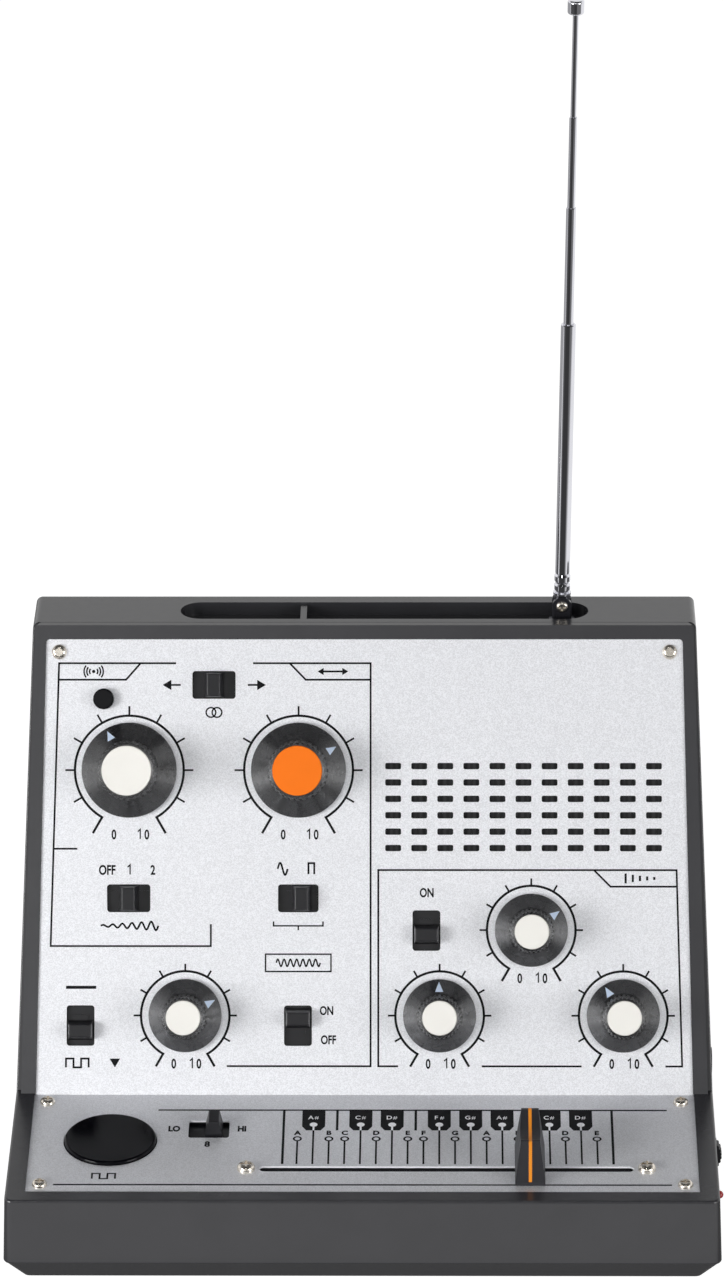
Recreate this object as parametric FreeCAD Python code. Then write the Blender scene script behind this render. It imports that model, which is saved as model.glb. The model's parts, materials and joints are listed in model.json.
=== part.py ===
import FreeCAD, Part
import os
from math import cos, pi, radians, sin

# Desktop theremin with a steep control panel, a low deck and a telescopic antenna.
# Millimetres. +X to the player's right, +Y to the back, +Z up.
# The origin is on the table, under the middle of the case.

Vector = FreeCAD.Vector
X_AXIS = Vector(1, 0, 0)
Y_AXIS = Vector(0, 1, 0)
Z_AXIS = Vector(0, 0, 1)

# ---------------------------------------------------------------- driving dimensions

# Case
case_width_bottom = 255.5
case_width_top = 241.4
case_height = 195.0
deck_height = 34.3
deck_slope = 4.0
deck_length = 72.2
panel_slope = 65.4
top_depth = 27.2
wall = 2.5
rim_rise = 0.8
front_corner_radius = 3.0
rear_corner_radius = 2.0
top_side_radius = 2.4
bottom_edge_radius = 1.0
deck_edge_radius = 0.9
slope_edge_radius = 0.5

# Plinth and feet
foot_height = 1.2
foot_diameter = 14.0
foot_pocket = 0.8
foot_inset_side = 27.0
foot_inset_end = 41.0
plinth_height = 8.2
plinth_ledge = 0.8
plinth_taper = 5.9
post_diameter = 8.0
post_inset_side = 17.5
post_inset_front = 22.0
post_gap = 1.0
rear_post_height = 26.0

# Clearances
seat_gap = 0.05
fit_gap = 0.3
cover_gap = 0.3
running_gap = 0.05

# Panels and bezel
panel_thickness = 1.5
panel_side_top = 5.1
panel_side_bottom = 7.17
bezel_rise = 0.8
bezel_top_width = 5.5
bezel_setback_top = 1.0
bezel_setback_bottom = 1.77
bezel_corner_radius = 3.0
land_width = 6.4
deck_rim_width = 6.9
panel_corner_radius = 1.2

# Screws
screw_head_diameter = 5.5
screw_head_height = 1.7
screw_shank_diameter = 2.9
screw_shank_length = 7.0
screw_boss_diameter = 7.0
fader_screw_head_diameter = 6.5
fader_screw_head_height = 2.4
cross_width = 0.8
cross_depth = 0.9
upper_screw_inset_side = 4.8
upper_screw_inset_top = 4.6
lower_screw_inset_side = 4.9
lower_screw_inset_rear = 5.1
lower_screw_inset_front = 5.6

# Knobs
big_skirt_diameter = 34.5
big_grip_diameter = 21.9
big_cap_diameter = 18.0
big_knob_height = 22.0
small_skirt_diameter = 26.5
small_grip_diameter = 16.2
small_cap_diameter = 12.5
small_knob_height = 20.0
knob_lift = 0.6
skirt_edge = 1.7
skirt_wall = 2.0
skirt_top_height = 8.6
grip_draft = 0.8
flute_count = 30
flute_depth = 0.45
cap_depth = 1.6
cap_rise = 0.25
cap_rim = 0.5
pitch_antenna_knob_spot = (-85.5, 118.1)
pitch_slide_knob_spot = (-23.9, 118.1)
time_knob_spot = (60.7, 60.0)
level_knob_spot = (27.4, 28.9)
feedback_knob_spot = (94.1, 28.9)
decay_knob_spot = (-65.1, 28.9)

# Potentiometers behind the upper panel
pot_diameter = 16.4
pot_bush_diameter = 7.0
pot_bush_height = 3.2
pot_nut_width = 10.0
pot_nut_thickness = 1.8
pot_shaft_diameter = 6.0
pot_shaft_sunk = 5.0

# Slide switches
wide_window_length = 15.7
short_window_length = 14.7
window_width = 10.1
window_radius = 1.1
octave_window_width = 11.5
switch_margin = 0.9
switch_sunk = 0.6
switch_cap_length = 7.0
switch_cap_top_length = 4.6
switch_cap_width = 9.0
switch_cap_top_width = 8.2
switch_cap_height = 5.6
octave_cap_length = 6.2
switch_stem_length = 3.4
switch_stem_width = 3.0
switch_stem_depth = 2.6
switch_slot_depth = 3.2
shutter_thickness = 0.5
shutter_width = 5.4
three_way_travel = 4.0
two_way_travel = 3.6
mix_spot = (-54.7, 149.1)
modulation_spot = (-85.7, 71.5)
waveform_spot = (-24.0, 71.5)
vibrato_spot = (-24.1, 25.2)
drone_spot = (-103.2, 25.2)
delay_spot = (22.6, 59.8)
octave_spot = (-55.7, 23.2)
waveform_rest = 1.2
vibrato_rest = 2.7
drone_rest = -1.7
delay_rest = -1.4
octave_rest = 1.9
octave_travel = 3.8

# Buttons
tuning_button_spot = (-94.8, 144.0)
tuning_button_diameter = 7.5
tuning_button_height = 3.6
tuning_button_travel = 0.6
trigger_spot = (-90.9, 31.0)
trigger_diameter = 33.0
trigger_height = 1.3
trigger_travel = 0.9
trigger_flange = 2.0
trigger_flange_thickness = 1.2
trigger_edge_radius = 0.9
button_gap = 0.35
tact_size = 6.2
tact_height = 3.0
plunger_diameter = 3.4
plunger_height = 0.8

# Loudspeaker and grille
grille_columns = 11
grille_rows = 6
grille_slot_length = 5.75
grille_slot_width = 2.3
grille_slot_radius = 0.6
grille_pitch_x = 9.48
grille_pitch_v = 5.96
grille_first_spot = (10.5, 119.6)
grille_window_margin = 2.0
cloth_thickness = 0.5
speaker_diameter = 66.0
speaker_flange_thickness = 1.5
speaker_basket_depth = 15.0
speaker_basket_wall = 1.2
speaker_neck_diameter = 30.0
speaker_magnet_diameter = 36.0
speaker_magnet_height = 11.0
speaker_cone_thickness = 0.8
speaker_cone_depth = 11.0
speaker_dome_diameter = 17.0
speaker_screw_circle = 60.0

# Circuit boards
board_gap = 7.0
board_thickness = 1.6
board_margin = 7.0
board_post_diameter = 6.0
upper_board_height = 151.0
upper_board_step_height = 70.0
inner_screw_diameter = 2.4
inner_screw_length = 5.5
inner_head_diameter = 4.8
inner_head_height = 1.5

# Slide fader
slot_left = -36.9
slot_right = 96.7
slot_distance = 49.6
slot_width = 3.4
fader_screw_reach = 4.7
fader_body_end = 8.5
fader_body_width = 9.0
fader_channel_width = 4.0
fader_channel_depth = 5.2
fader_position = 59.7
fader_cap_length = 25.0
fader_cap_width = 10.7
fader_cap_top_width = 6.2
fader_front_height = 15.8
fader_rear_height = 17.9
fader_cap_front_slant = 4.5
fader_cap_rear_slant = 1.4
fader_scoop = 2.2
fader_ridge = 1.2
fader_cap_bevel_height = 1.4
fader_shift = 1.2
fader_lift = 0.35
stripe_width = 1.15
stripe_depth = 0.8
lever_length = 5.0
lever_thickness = 0.9
lever_engagement = 6.0

# Antenna recess and antenna
recess_length = 149.0
recess_width = 15.0
recess_wall = 2.2
recess_depth = 5.0
recess_centre_x = 7.2
recess_front_rim = 4.9
clip_x = -22.3
clip_thickness = 2.3
clip_drop = 0.8
clip_gap = 0.35
antenna_x = 72.0
antenna_lean = 0.85
pivot_rise = 3.2
socket_flange_diameter = 12.0
socket_flange_thickness = 1.0
socket_bush_diameter = 7.0
stem_diameter = 4.0
rivet_diameter = 6.5
rivet_thickness = 1.0
swivel_base_diameter = 9.4
swivel_base_thickness = 1.6
clevis_width = 7.0
clevis_ear_thickness = 1.7
tongue_thickness = 3.6
tongue_width = 6.2
hinge_pin_diameter = 2.4
hinge_head_diameter = 4.3
hinge_head_thickness = 1.1
shoulder_start = 3.7
rib_start = 4.9
rib_end = 11.6
rib_groove = 0.5
rib_diameter = 5.9
tube_1_diameter = 5.4
tube_2_diameter = 3.6
tube_3_diameter = 2.85
rod_diameter = 2.1
tube_1_end = 109.0
tube_2_end = 153.3
tube_3_end = 187.3
rod_end = 225.6
tip_diameter = 5.9
tip_height = 5.2
tube_2_length = 98.0
tube_3_length = 95.0
rod_length = 91.0
tube_1_floor = 7.8

# Right side
side_height = 22.0
led_distance = 28.6
led_diameter = 3.0
led_flange_diameter = 3.8
led_flange_thickness = 1.0
lead_size = 0.5
lead_spacing = 1.8
led_rise = 1.9
led_body_length = 5.3
wheel_distance = 60.0
wheel_diameter = 16.4
wheel_thickness = 4.0
wheel_reach = 2.4
wheel_notch_count = 30
wheel_notch_depth = 0.4
volume_pot_width = 6.0
volume_pot_depth = 4.5
volume_pot_height = 9.0
volume_shaft_diameter = 3.0
jack_inset_rear = 38.5
jack_collar_diameter = 10.5
jack_collar_reach = 1.4
jack_bore_diameter = 6.4
jack_bore_depth = 24.0
jack_thread_diameter = 9.0
jack_body_size = 14.0
jack_body_length = 22.0

# Rear cover, battery box and DC inlet
rear_screw_inset_side = 10.0
rear_screw_inset_end = 11.0
rear_boss_size = 9.0
rear_boss_depth = 12.0
cell_diameter = 14.3
cell_length = 49.2
cell_nub_diameter = 5.4
cell_nub_length = 1.3
cell_count = 4
cell_gap = 0.4
battery_wall = 1.8
battery_floor_height = 22.0
battery_x = 0.0
contact_thickness = 0.5
contact_size = 9.0
spring_length = 3.0
door_ledge = 2.5
door_thickness = 2.0
door_pin_radius = 0.45
door_pin_reach = 1.0
door_rib_count = 5
door_rib_height = 0.5
door_rib_pitch = 2.2
vent_count = 7
vent_width = 2.4
vent_length = 26.0
vent_pitch = 6.0
vent_centre_z = 150.0
inlet_x = -88.0
inlet_z = 30.0
inlet_bore_diameter = 5.6
inlet_bore_depth = 9.5
inlet_pin_diameter = 2.1
inlet_body_width = 11.0
inlet_body_depth = 13.5
inlet_nose_diameter = 8.0

# ---------------------------------------------------------------- derived planes

slope_sine = sin(radians(panel_slope))
slope_cosine = cos(radians(panel_slope))
deck_sine = sin(radians(deck_slope))
deck_cosine = cos(radians(deck_slope))

plinth_top = foot_height + plinth_height
crease_z = deck_height + deck_length * deck_sine
slope_length = (case_height - crease_z) / slope_sine
deck_run = deck_length * deck_cosine
slope_run = slope_length * slope_cosine
case_depth = deck_run + slope_run + top_depth
front_y = -case_depth / 2
back_y = case_depth / 2
crease_y = front_y + deck_run

# Depths under the printed surface of either panel, along the panel's normal.
under_panel = -panel_thickness
under_wall = under_panel - wall
board_face = under_wall - board_gap
board_back = board_face - board_thickness

deck_frame = FreeCAD.Placement(
    Vector(0, front_y, deck_height), FreeCAD.Rotation(X_AXIS, deck_slope))
slope_frame = FreeCAD.Placement(
    Vector(0, crease_y, crease_z), FreeCAD.Rotation(X_AXIS, panel_slope))

panel_top = slope_length - bezel_top_width
lower_panel_front = land_width
lower_panel_rear = deck_length + panel_thickness / 2
slot_v = deck_length - slot_distance
recess_centre_y = back_y - top_depth + recess_front_rim + recess_width / 2
recess_floor = case_height - recess_depth
pivot_z = case_height + pivot_rise
jack_y = back_y - jack_inset_rear

parts = {}


# ---------------------------------------------------------------- helpers

def half_width(z):
    """Half the width of the drafted case at height z."""
    share = (z - plinth_top) / (case_height - plinth_top)
    return (case_width_bottom - share * (case_width_bottom - case_width_top)) / 2


def slope_half_width(v):
    """Half the width of the case at v along the steep panel."""
    return half_width(crease_z + v * slope_sine)


def deck_point(v, w):
    """Point at v along the deck and w above its panel, in the middle of the case."""
    return deck_frame.multVec(Vector(0, v, w))


def slope_point_at(z, w):
    """Point at height z on the plane w above the steep panel."""
    v = (z - crease_z - w * slope_cosine) / slope_sine
    return slope_frame.multVec(Vector(0, v, w))


def crease_point(deck_w, slope_w):
    """Point where a plane over the deck meets a plane over the steep panel."""
    turn = radians(panel_slope - deck_slope)
    extra = (deck_w * cos(turn) - slope_w) / sin(turn)
    return deck_point(deck_length + extra, deck_w)


def front_point(y, w):
    """Point of the plane w above the deck at the given y."""
    z = deck_height + (y - front_y) * deck_sine / deck_cosine + w / deck_cosine
    return Vector(0, y, z)


def on(frame, shape):
    """The shape, drawn in a panel's own axes, in its place on the case."""
    moved = shape.copy()
    moved.Placement = frame.multiply(moved.Placement)
    return moved


def at(x, y, z, shape):
    """The shape, shifted."""
    moved = shape.copy()
    moved.translate(Vector(x, y, z))
    return moved


def face_of(points):
    return Part.Face(Part.makePolygon(list(points) + [points[0]]))


def block(x_range, y_range, z_range):
    size = [high - low for low, high in (x_range, y_range, z_range)]
    return Part.makeBox(*size, Vector(x_range[0], y_range[0], z_range[0]))


def centred_block(x, y, length, width, z_range):
    x_range = (x - length / 2, x + length / 2)
    y_range = (y - width / 2, y + width / 2)
    return block(x_range, y_range, z_range)


def upright(radius, z_range, x=0.0, y=0.0):
    """Cylinder along the local Z."""
    return Part.makeCylinder(radius, z_range[1] - z_range[0], Vector(x, y, z_range[0]))


def turned(points):
    """Solid of revolution about Z from points (radius, height)."""
    outline = face_of([Vector(radius, 0, height) for radius, height in points])
    return outline.revolve(Vector(0, 0, 0), Z_AXIS, 360)


def along_x(points, half_length):
    """Prism with the given YZ outline, centred on X = 0."""
    outline = face_of([Vector(-half_length, p.y, p.z) for p in points])
    return outline.extrude(Vector(2 * half_length, 0, 0))


def rounded_block(x, y, length, width, radius, z_range):
    """Block with its four upright edges rounded."""
    body = centred_block(x, y, length, width, z_range)
    return body.makeFillet(radius, upright_edges(body))


def upright_edges(body):
    found = []
    for edge in body.Edges:
        direction = edge.Vertexes[-1].Point - edge.Vertexes[0].Point
        if abs(direction.x) < 1e-6 and abs(direction.y) < 1e-6 and edge.Length > 0:
            found.append(edge)
    return found


def stadium(length, width, z_range, x, y):
    """Block with half-round ends."""
    reach = (length - width) / 2
    body = centred_block(x, y, 2 * reach, width, z_range)
    left = upright(width / 2, z_range, x - reach, y)
    right = upright(width / 2, z_range, x + reach, y)
    return body.fuse([left, right]).removeSplitter()


def frustum_block(length, width, top_length, top_width, z_range):
    """Block whose four sides lean, from one rectangle to another above it."""
    low, high = z_range
    reach_x = max(length, top_length)
    reach_y = max(width, top_width)
    front = face_of([
        Vector(-length / 2, -reach_y, low), Vector(length / 2, -reach_y, low),
        Vector(top_length / 2, -reach_y, high), Vector(-top_length / 2, -reach_y, high)])
    side = face_of([
        Vector(-reach_x, -width / 2, low), Vector(-reach_x, width / 2, low),
        Vector(-reach_x, top_width / 2, high), Vector(-reach_x, -top_width / 2, high)])
    across_y = front.extrude(Vector(0, 2 * reach_y, 0))
    return across_y.common(side.extrude(Vector(2 * reach_x, 0, 0)))


def group(shapes):
    return Part.makeCompound(list(shapes))


def mirrored(spots):
    """Each spot and its mirror image across the middle of the case."""
    return [(side * x, y) for x, y in spots for side in (-1, 1)]


# ---------------------------------------------------------------- knobs and what they turn

def knob_sizes(big):
    if big:
        return big_skirt_diameter / 2, big_grip_diameter / 2, big_cap_diameter / 2, big_knob_height
    return small_skirt_diameter / 2, small_grip_diameter / 2, small_cap_diameter / 2, small_knob_height


def flute_cutters(foot_radius, top_radius, low, high):
    cutter_radius = pi * foot_radius / flute_count * 0.55
    offset = cutter_radius - flute_depth
    start = Vector(foot_radius + offset, 0, low)
    end = Vector(top_radius + offset, 0, high)
    flute = Part.makeCylinder(cutter_radius, (end - start).Length, start, end - start)
    cutters = []
    for index in range(flute_count):
        copy = flute.copy()
        copy.rotate(Vector(0, 0, 0), Z_AXIS, index * 360 / flute_count)
        cutters.append(copy)
    return cutters


def knob_body(big):
    """Skirt and fluted grip, hollow under the skirt, with the bore for the shaft."""
    skirt, grip, cap, height = knob_sizes(big)
    top = height - cap_rise
    grip_top = grip - grip_draft
    bevel = (grip_top - cap) * 0.45
    outline = [
        (0, knob_lift), (skirt, knob_lift), (skirt, knob_lift + skirt_edge),
        (grip + bevel, skirt_top_height), (grip, skirt_top_height + bevel),
        (grip_top, top - bevel), (grip_top - bevel, top), (0, top)]
    body = turned(outline)
    flute_low = skirt_top_height + bevel
    body = body.cut(flute_cutters(grip, grip_top, flute_low, top + 1))
    hollow_height = max(knob_lift + skirt_edge, pot_bush_height + cap_rise) + fit_gap
    hollow = [
        (0, 0), (skirt - skirt_wall, 0), (skirt - skirt_wall, knob_lift + skirt_edge / 2),
        (pot_nut_width * 0.62, hollow_height), (0, hollow_height)]
    seat = upright(cap + running_gap, (top - cap_depth, height))
    bore = upright(pot_shaft_diameter / 2 + running_gap, (0, top - 2 * cap_depth))
    return body.cut([turned(hollow), seat, bore])


def knob_shaft(big):
    """Potentiometer shaft, from inside the potentiometer to the top of the knob's bore."""
    height = knob_sizes(big)[3]
    top = height - cap_rise - 2 * cap_depth
    return upright(pot_shaft_diameter / 2, (under_wall - pot_shaft_sunk + fit_gap, top))


def knob_cap(big):
    """Coloured insert in the top of the grip."""
    cap = knob_sizes(big)[2]
    height = knob_sizes(big)[3]
    low = height - cap_rise - cap_depth
    bevel = cap_rim * 0.5
    return turned([(0, low), (cap, low), (cap, height - bevel), (cap - bevel, height), (0, height)])


def potentiometer():
    """Body under the wall, threaded bush through the panel, and the nut on the bush."""
    shaft_bore = upright(pot_shaft_diameter / 2 + running_gap, (board_face, pot_bush_height))
    floor = upright(pot_shaft_diameter / 2 + running_gap, (board_face, under_wall - pot_shaft_sunk))
    body = upright(pot_diameter / 2, (board_face, under_wall))
    bush = upright(pot_bush_diameter / 2, (under_wall, pot_bush_height))
    body = body.fuse(bush).cut(shaft_bore).fuse(floor).removeSplitter()
    corner = pot_nut_width / 2 / cos(pi / 6)
    hexagon = []
    for index in range(6):
        angle = index * pi / 3
        hexagon.append(Vector(corner * cos(angle), corner * sin(angle), 0))
    nut = face_of(hexagon).extrude(Vector(0, 0, pot_nut_thickness))
    nut = nut.cut(upright(pot_bush_diameter / 2 + seat_gap, (-1, pot_nut_thickness + 1)))
    return [body, nut]


knobs = {
    "pitch_antenna_knob": (True, pitch_antenna_knob_spot),
    "pitch_slide_knob": (True, pitch_slide_knob_spot),
    "time_knob": (False, time_knob_spot),
    "level_knob": (False, level_knob_spot),
    "feedback_knob": (False, feedback_knob_spot),
    "decay_knob": (False, decay_knob_spot),
}


def add_knobs():
    bodies = {big: knob_body(big) for big in (True, False)}
    pots = []
    for name, (big, (x, v)) in knobs.items():
        knob = group([bodies[big], knob_shaft(big)])
        parts[name] = on(slope_frame, at(x, v, 0, knob))
        parts[name + "_cap"] = on(slope_frame, at(x, v, 0, knob_cap(big)))
        pots += [on(slope_frame, at(x, v, 0, piece)) for piece in potentiometer()]
    parts["pot_bodies"] = group(pots)


# ---------------------------------------------------------------- slide switches

def stem_slot_length(travel):
    return switch_stem_length + travel + 2 * fit_gap


def shutter_length(travel):
    return stem_slot_length(travel) + travel


def switch_cap(length, top_length, width, top_width, travel, rest):
    """Thumb piece with its stem, and the shutter that hides the stem's slot; it slides along X."""
    underside = under_panel + running_gap - switch_sunk
    shutter_z = (underside, underside + shutter_thickness)
    shutter = centred_block(0, 0, shutter_length(travel), shutter_width, shutter_z)
    thumb = frustum_block(length, width, top_length, top_width, (0, switch_cap_height))
    foot = centred_block(0, 0, length, width, (underside, 0))
    stem_z = (underside - switch_stem_depth, underside)
    stem = centred_block(0, 0, switch_stem_length, switch_stem_width, stem_z)
    top_edges = [e for e in thumb.Edges if e.BoundBox.ZMin > switch_cap_height - 1e-3]
    thumb = thumb.makeFillet(0.4, top_edges)
    return at(rest, 0, 0, thumb.fuse([foot, shutter, stem]).removeSplitter())


def switch_body(length, width, travel, centre_shift):
    """Fixed body behind a window, with the slot that the stem runs in."""
    top = under_panel - switch_sunk
    size = (length + 2 * switch_margin, width + 2 * switch_margin)
    body = rounded_block(0, 0, *size, window_radius, (board_face, top))
    slot_z = (top - switch_slot_depth, top + 1)
    slot = centred_block(
        centre_shift, 0, stem_slot_length(travel), switch_stem_width + 2 * running_gap, slot_z)
    return body.cut(slot)


class Switch:
    """One slide switch: where its window is, which way it slides and where it rests."""

    def __init__(self, spot, length, width, upright_slide, travel, rest, centre_shift):
        self.spot = spot
        self.length = length
        self.width = width
        self.angle = 90 if upright_slide else 0
        self.travel = travel
        self.rest = rest
        self.centre_shift = centre_shift

    def place(self, shape):
        turned_shape = shape.copy()
        turned_shape.rotate(Vector(0, 0, 0), Z_AXIS, self.angle)
        return at(self.spot[0], self.spot[1], 0, turned_shape)

    def window(self, margin, z_range):
        size_x = self.length + 2 * margin
        size_y = self.width + 2 * margin
        return self.place(rounded_block(0, 0, size_x, size_y, window_radius, z_range))

    def shutter_way(self):
        """Groove that the cap's shutter slides in, in the wall behind the panel."""
        length = shutter_length(self.travel) + self.travel + 2 * fit_gap
        width = shutter_width + 2 * fit_gap
        way_z = (under_panel - switch_sunk, under_panel + 0.5)
        return self.place(centred_block(self.centre_shift, 0, length, width, way_z))

    def cap(self, length):
        taper = switch_cap_top_length - switch_cap_length
        body = switch_cap(
            length, length + taper, switch_cap_width, switch_cap_top_width, self.travel, self.rest)
        return self.place(body)

    def body(self):
        return self.place(switch_body(self.length, self.width, self.travel, self.centre_shift))


def two_way(spot, upright_slide, rest):
    """A switch with two positions, resting on the side that the sign of rest gives."""
    sign = 1 if rest > 0 else -1
    middle = rest - sign * two_way_travel / 2
    return Switch(spot, short_window_length, window_width, upright_slide, two_way_travel, rest, middle)


def three_way(spot):
    travel = 2 * three_way_travel
    return Switch(spot, wide_window_length, window_width, False, travel, 0.0, 0.0)


upper_switches = {
    "mix_switch_cap": three_way(mix_spot),
    "modulation_switch_cap": three_way(modulation_spot),
    "waveform_switch_cap": two_way(waveform_spot, False, waveform_rest),
    "vibrato_switch_cap": two_way(vibrato_spot, True, vibrato_rest),
    "drone_switch_cap": two_way(drone_spot, True, drone_rest),
    "delay_switch_cap": two_way(delay_spot, True, delay_rest),
}
octave_switch = Switch(
    (octave_spot[0], deck_length - octave_spot[1]), short_window_length, octave_window_width,
    False, octave_travel, octave_rest, octave_rest - octave_travel / 2)


def add_switches():
    """Caps, and the bodies of the slide switches and of the buttons' tact switches."""
    bodies = []
    for name, switch in upper_switches.items():
        parts[name] = on(slope_frame, switch.cap(switch_cap_length))
        bodies.append(on(slope_frame, switch.body()))
    parts["octave_switch_cap"] = on(deck_frame, octave_switch.cap(octave_cap_length))
    bodies.append(on(deck_frame, octave_switch.body()))
    x, distance = trigger_spot
    bodies.append(on(deck_frame, tact_switch(x, deck_length - distance)))
    bodies.append(on(slope_frame, tact_switch(*tuning_button_spot)))
    parts["switch_bodies"] = group(bodies)


# ---------------------------------------------------------------- push buttons

def tact_switch(x, v):
    body = centred_block(x, v, tact_size, tact_size, (board_face, board_face + tact_height))
    plunger_z = (board_face + tact_height, board_face + tact_height + plunger_height)
    return body.fuse(upright(plunger_diameter / 2, plunger_z, x, v))


def tuning_button():
    """Small round push button with its stem down to the tact switch."""
    radius = tuning_button_diameter / 2
    foot = board_face + tact_height + plunger_height + tuning_button_travel + seat_gap
    edge = 0.5
    outline = [
        (0, foot), (plunger_diameter / 2, foot), (plunger_diameter / 2, under_wall),
        (radius, under_wall), (radius, tuning_button_height - edge),
        (radius - edge, tuning_button_height), (0, tuning_button_height)]
    return at(*tuning_button_spot, 0, turned(outline))


def trigger_button():
    """Large round button with the flange that keeps it under the deck."""
    radius = trigger_diameter / 2
    flange_top = under_wall - fit_gap
    flange_low = flange_top - trigger_flange_thickness
    foot = board_face + tact_height + plunger_height + trigger_travel + seat_gap
    disc = upright(radius, (flange_low, trigger_height))
    rim = [e for e in disc.Edges if e.BoundBox.ZMin > trigger_height - 1e-3]
    disc = disc.makeFillet(trigger_edge_radius, rim)
    flange = upright(radius + trigger_flange, (flange_low, flange_top))
    pieces = [flange]
    if foot < flange_low:
        pieces.append(upright(plunger_diameter / 2, (foot, flange_low)))
    return disc.fuse(pieces).removeSplitter()


def add_buttons():
    x, distance = trigger_spot
    parts["tuning_button"] = on(slope_frame, tuning_button())
    parts["trigger_button"] = on(deck_frame, at(x, deck_length - distance, 0, trigger_button()))


# ---------------------------------------------------------------- screws

def cross_cutter(radius, top):
    low = top - cross_depth
    bar = centred_block(0, 0, 1.2 * radius, cross_width, (low, top + 1))
    other = centred_block(0, 0, cross_width, 1.2 * radius, (low, top + 1))
    return bar.fuse(other)


def screw(head_diameter, head_height, shank_diameter, shank_length):
    """Pan-head screw standing on z = 0, with a cross recess."""
    radius = head_diameter / 2
    head = upright(radius, (0, head_height))
    rim = [e for e in head.Edges if e.BoundBox.ZMin > head_height - 1e-3]
    head = head.makeFillet(head_height * 0.85, rim)
    shank = upright(shank_diameter / 2, (-shank_length, 0))
    return head.fuse(shank).removeSplitter().cut(cross_cutter(radius, head_height))


def upper_screw_spots():
    v = panel_top - upper_screw_inset_top
    x = upper_panel_half_width(v) - upper_screw_inset_side
    return mirrored([(x, v)])


def lower_screw_spots():
    rear = deck_length - lower_screw_inset_rear
    front = lower_panel_front + lower_screw_inset_front
    x = lower_panel_half_width() - lower_screw_inset_side
    return mirrored([(x, rear), (x, front)])


def fader_screw_spots():
    return [(slot_left - fader_screw_reach, slot_v), (slot_right + fader_screw_reach, slot_v)]


def panel_screw():
    return screw(screw_head_diameter, screw_head_height, screw_shank_diameter, screw_shank_length)


def fader_screw():
    return screw(
        fader_screw_head_diameter, fader_screw_head_height, screw_shank_diameter, screw_shank_length)


def add_panel_screws():
    upper = [on(slope_frame, at(x, v, 0, panel_screw())) for x, v in upper_screw_spots()]
    lower = [on(deck_frame, at(x, v, 0, panel_screw())) for x, v in lower_screw_spots()]
    fader = [on(deck_frame, at(x, v, 0, fader_screw())) for x, v in fader_screw_spots()]
    parts["panel_screws"] = group(upper + lower)
    parts["fader_screws"] = group(fader)


# ---------------------------------------------------------------- panels and bezel

def upper_panel_half_width(v):
    share = v / slope_length
    side = panel_side_bottom + share * (panel_side_top - panel_side_bottom)
    return slope_half_width(v) - side


def lower_panel_half_width():
    return half_width(crease_z) - deck_rim_width


def bezel_half_width(v):
    share = v / slope_length
    setback = bezel_setback_bottom + share * (bezel_setback_top - bezel_setback_bottom)
    return slope_half_width(v) - setback


def tapered_plate(width_at, v_range, w_range):
    """Plate in a panel's own axes, whose half width follows width_at(v)."""
    low, high = v_range
    corners = [
        Vector(-width_at(low), low, w_range[0]), Vector(width_at(low), low, w_range[0]),
        Vector(width_at(high), high, w_range[0]), Vector(-width_at(high), high, w_range[0])]
    return face_of(corners).extrude(Vector(0, 0, w_range[1] - w_range[0]))


def short_edges_near(body, v):
    """Edges along the thickness of a plate, close to the line v."""
    return [e for e in upright_edges(body) if abs(e.BoundBox.Center.y - v) < 0.5]


def below_deck(top):
    """Everything under the plane at height top over the deck, in the case's own axes."""
    reach = case_width_bottom
    return on(deck_frame, block((-reach, reach), (-reach, deck_length + 20), (top - 40, top)))


def grille_spots():
    x, v = grille_first_spot
    spots = []
    for column in range(grille_columns):
        for row in range(grille_rows):
            spots.append((x + column * grille_pitch_x, v - row * grille_pitch_v))
    return spots


def grille_centre():
    x, v = grille_first_spot
    return x + (grille_columns - 1) * grille_pitch_x / 2, v - (grille_rows - 1) * grille_pitch_v / 2


def grille_window_size():
    margin = 2 * grille_window_margin
    length = (grille_columns - 1) * grille_pitch_x + grille_slot_length + margin
    height = (grille_rows - 1) * grille_pitch_v + grille_slot_width + margin
    return length, height


def grille_cutters(z_range):
    slot = rounded_block(0, 0, grille_slot_length, grille_slot_width, grille_slot_radius, z_range)
    return [at(x, v, 0, slot) for x, v in grille_spots()]


def upper_panel_cutters():
    through = (under_panel - 1, 1)
    bush_hole = pot_bush_diameter / 2 + seat_gap
    cutters = [upright(bush_hole, through, x, v) for _, (x, v) in knobs.values()]
    cutters += [switch.window(0, through) for switch in upper_switches.values()]
    button_hole = tuning_button_diameter / 2 + running_gap
    cutters.append(upright(button_hole, through, *tuning_button_spot))
    screw_hole = screw_shank_diameter / 2 + seat_gap
    cutters += [upright(screw_hole, through, x, v) for x, v in upper_screw_spots()]
    return cutters + grille_cutters(through)


def add_upper_panel():
    plate = tapered_plate(upper_panel_half_width, (0, panel_top), (under_panel, 0))
    plate = plate.makeFillet(panel_corner_radius, short_edges_near(plate, panel_top))
    plate = on(slope_frame, plate.cut(upper_panel_cutters()))
    parts["upper_panel"] = plate.cut(below_deck(seat_gap))


def lower_panel_cutters():
    through = (under_panel - 1, 1)
    x, distance = trigger_spot
    cutters = [upright(trigger_diameter / 2 + button_gap, through, x, deck_length - distance)]
    cutters.append(octave_switch.window(0, through))
    screw_hole = screw_shank_diameter / 2 + seat_gap
    spots = lower_screw_spots() + fader_screw_spots()
    cutters += [upright(screw_hole, through, *spot) for spot in spots]
    length = slot_right - slot_left
    cutters.append(stadium(length, slot_width, through, slot_left + length / 2, slot_v))
    return cutters


def add_lower_panel():
    half = lower_panel_half_width()
    plate = block((-half, half), (lower_panel_front, lower_panel_rear), (under_panel, 0))
    parts["lower_panel"] = on(deck_frame, plate.cut(lower_panel_cutters()))


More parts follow.
